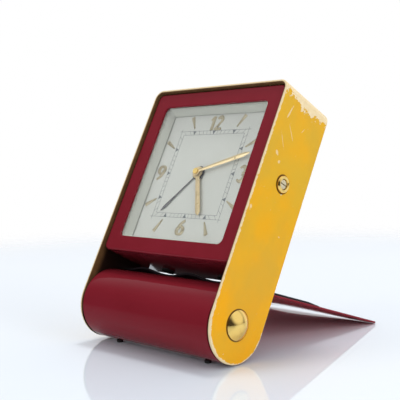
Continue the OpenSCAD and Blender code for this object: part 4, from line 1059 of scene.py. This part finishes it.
# %% Finishes of the other nodes
FINISH = {
    RED_CASE: "back_cover", RED_COVER: "cover_cheeks", GLASS: "glass", DIAL: "dial_plate",
    RUBBER: "case_buffers", BLUED: "hairspring time_mainspring alarm_mainspring",
    BRASS: "hand_nut time_key alarm_key hand_setting_knob alarm_setting_knob",
    MOVEMENT: "front_plate rear_plate plate_pillars movement_spacers centre_wheel third_wheel "
              "fourth_wheel time_great_wheel alarm_great_wheel hour_wheel minute_wheel "
              "alarm_wheel balance_cock balance_wheel escape_wheel alarm_escape_wheel",
    STEEL: "pivot_washers pivot_nuts plate_screws back_cover_screws hand_arbor cannon_pinion "
           "pallet_lever regulator_lever time_winding_arbor alarm_winding_arbor time_click "
           "alarm_click alarm_hammer alarm_gong alarm_setting_arbor alarm_stop_lever",
}
finished = 0
for finish, names in FINISH.items():
    for name in names.split():
        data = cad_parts[name].data
        data.materials.clear()
        data.materials.append(finish)
        finished += 1
print(finished, "CAD nodes take a finish")

# %% [markdown]
# ## Table
# The photograph's table is a glossy pale sheet that mirrors the clock softly, and has no edge
# at the back. A curved backdrop would do, but would be mirrored as well. Here one large plane
# fades, far from the clock, into the white behind it, and a haze noise keeps its gloss uneven.

# %% Table
def table_finish():
    """Glossy and pale near the clock; far out it fades into the white behind."""
    made, tree, shader = start("glossy_table", (0.84, 0.92, 0.99), 0.04)
    place = add(tree, "TexCoord").outputs["Object"]
    haze = add(tree, "TexNoise", {"Vector": place, "Scale": 60.0, "Detail": 4.0}).outputs["Fac"]
    tree.links.new(plus(0.02, times(haze, 0.05)), shader.inputs["Roughness"])
    away = add(tree, "VectorMath", {0: place}, operation="LENGTH").outputs["Value"]
    gone = add(tree, "BsdfTransparent").outputs[0]
    mixed = add(tree, "MixShader", {0: step(away, 0.24, 0.40), 1: shader.outputs[0], 2: gone})
    tree.links.new(mixed.outputs[0], tree.nodes["Material Output"].inputs["Surface"])
    return made


bpy.ops.mesh.primitive_plane_add(size=2.0)
floor = bpy.context.object
floor.name = "table"
floor.data.materials.append(table_finish())
print("table", [round(v, 2) for v in floor.dimensions], "m")

# %% [markdown]
# ## World
# A photographer hangs white sheets round a shiny object and keeps the camera's side dark, so
# that its edges stay dark and clear. The world does both. What lights the clock is nearly
# even. What lacquer, brass and table mirror is white behind, above and at the right rear, and
# dark elsewhere. Camera and transmission rays see plain white: that makes the background
# white without more light on the clock.

# %% World
world = bpy.data.worlds.new("tent")
scene.world = world
world.use_nodes = True
sky = world.node_tree
ray = add(sky, "LightPath").outputs
toward = add(sky, "SeparateXYZ", {0: add(sky, "TexCoord").outputs["Generated"]}).outputs
tent = blend_colour(step(toward[2], 0.05, 0.6), (0.88, 0.87, 0.92), (0.60, 0.60, 0.62))
above = step(toward[2], 0.42, 0.95)
behind = step(calc("SUBTRACT", toward[1], times(toward[0], 0.9)), 0.25, 0.8)
rear = plus(times(toward[1], 0.45), times(toward[2], 0.5))
beside = step(plus(times(toward[0], 0.75), rear), 0.70, 0.95)
bright = larger(above, larger(behind, beside))
room = blend_colour(bright, (0.06, 0.055, 0.06), (0.97, 0.98, 1.0))
lit = blend_colour(ray["Is Glossy Ray"], tent, room)
seen = larger(ray["Is Camera Ray"], ray["Is Transmission Ray"])
sky.links.new(blend_colour(seen, lit, (1.0, 1.0, 1.0)),
              sky.nodes["Background"].inputs["Color"])
print("world", world.name, "with", len(sky.nodes), "nodes")

# %% [markdown]
# ## Lamps
# Three soft lamps shape the clock: one above for the table's bright middle, a large one at
# the right for the yellow arm, and a weaker one in front for the red. Glossy rays don't see
# them, or table and brass would mirror their hard squares.

# %% Lamps
def lamp(name, at, size, power, target=(0, 0, 0.04)):
    """Area lamp that looks at the clock's middle."""
    light = bpy.data.lights.new(name, "AREA")
    light.shape, light.size, light.size_y = "RECTANGLE", size[0], size[1]
    light.energy = power
    made = bpy.data.objects.new(name, light)
    scene.collection.objects.link(made)
    made.location = at
    made.visible_glossy = False
    made.rotation_euler = (Vector(target) - Vector(at)).to_track_quat("-Z", "Y").to_euler()


lamp("overhead", (-0.05, 0.12, 0.68), (0.14, 0.14), 1.3)
lamp("right_side", (0.75, 0.05, 0.34), (0.4, 0.5), 2.35)
lamp("front_left", (-0.35, -0.75, 0.35), (0.3, 0.4), 1.2)
scene.view_settings.view_transform = "Standard"
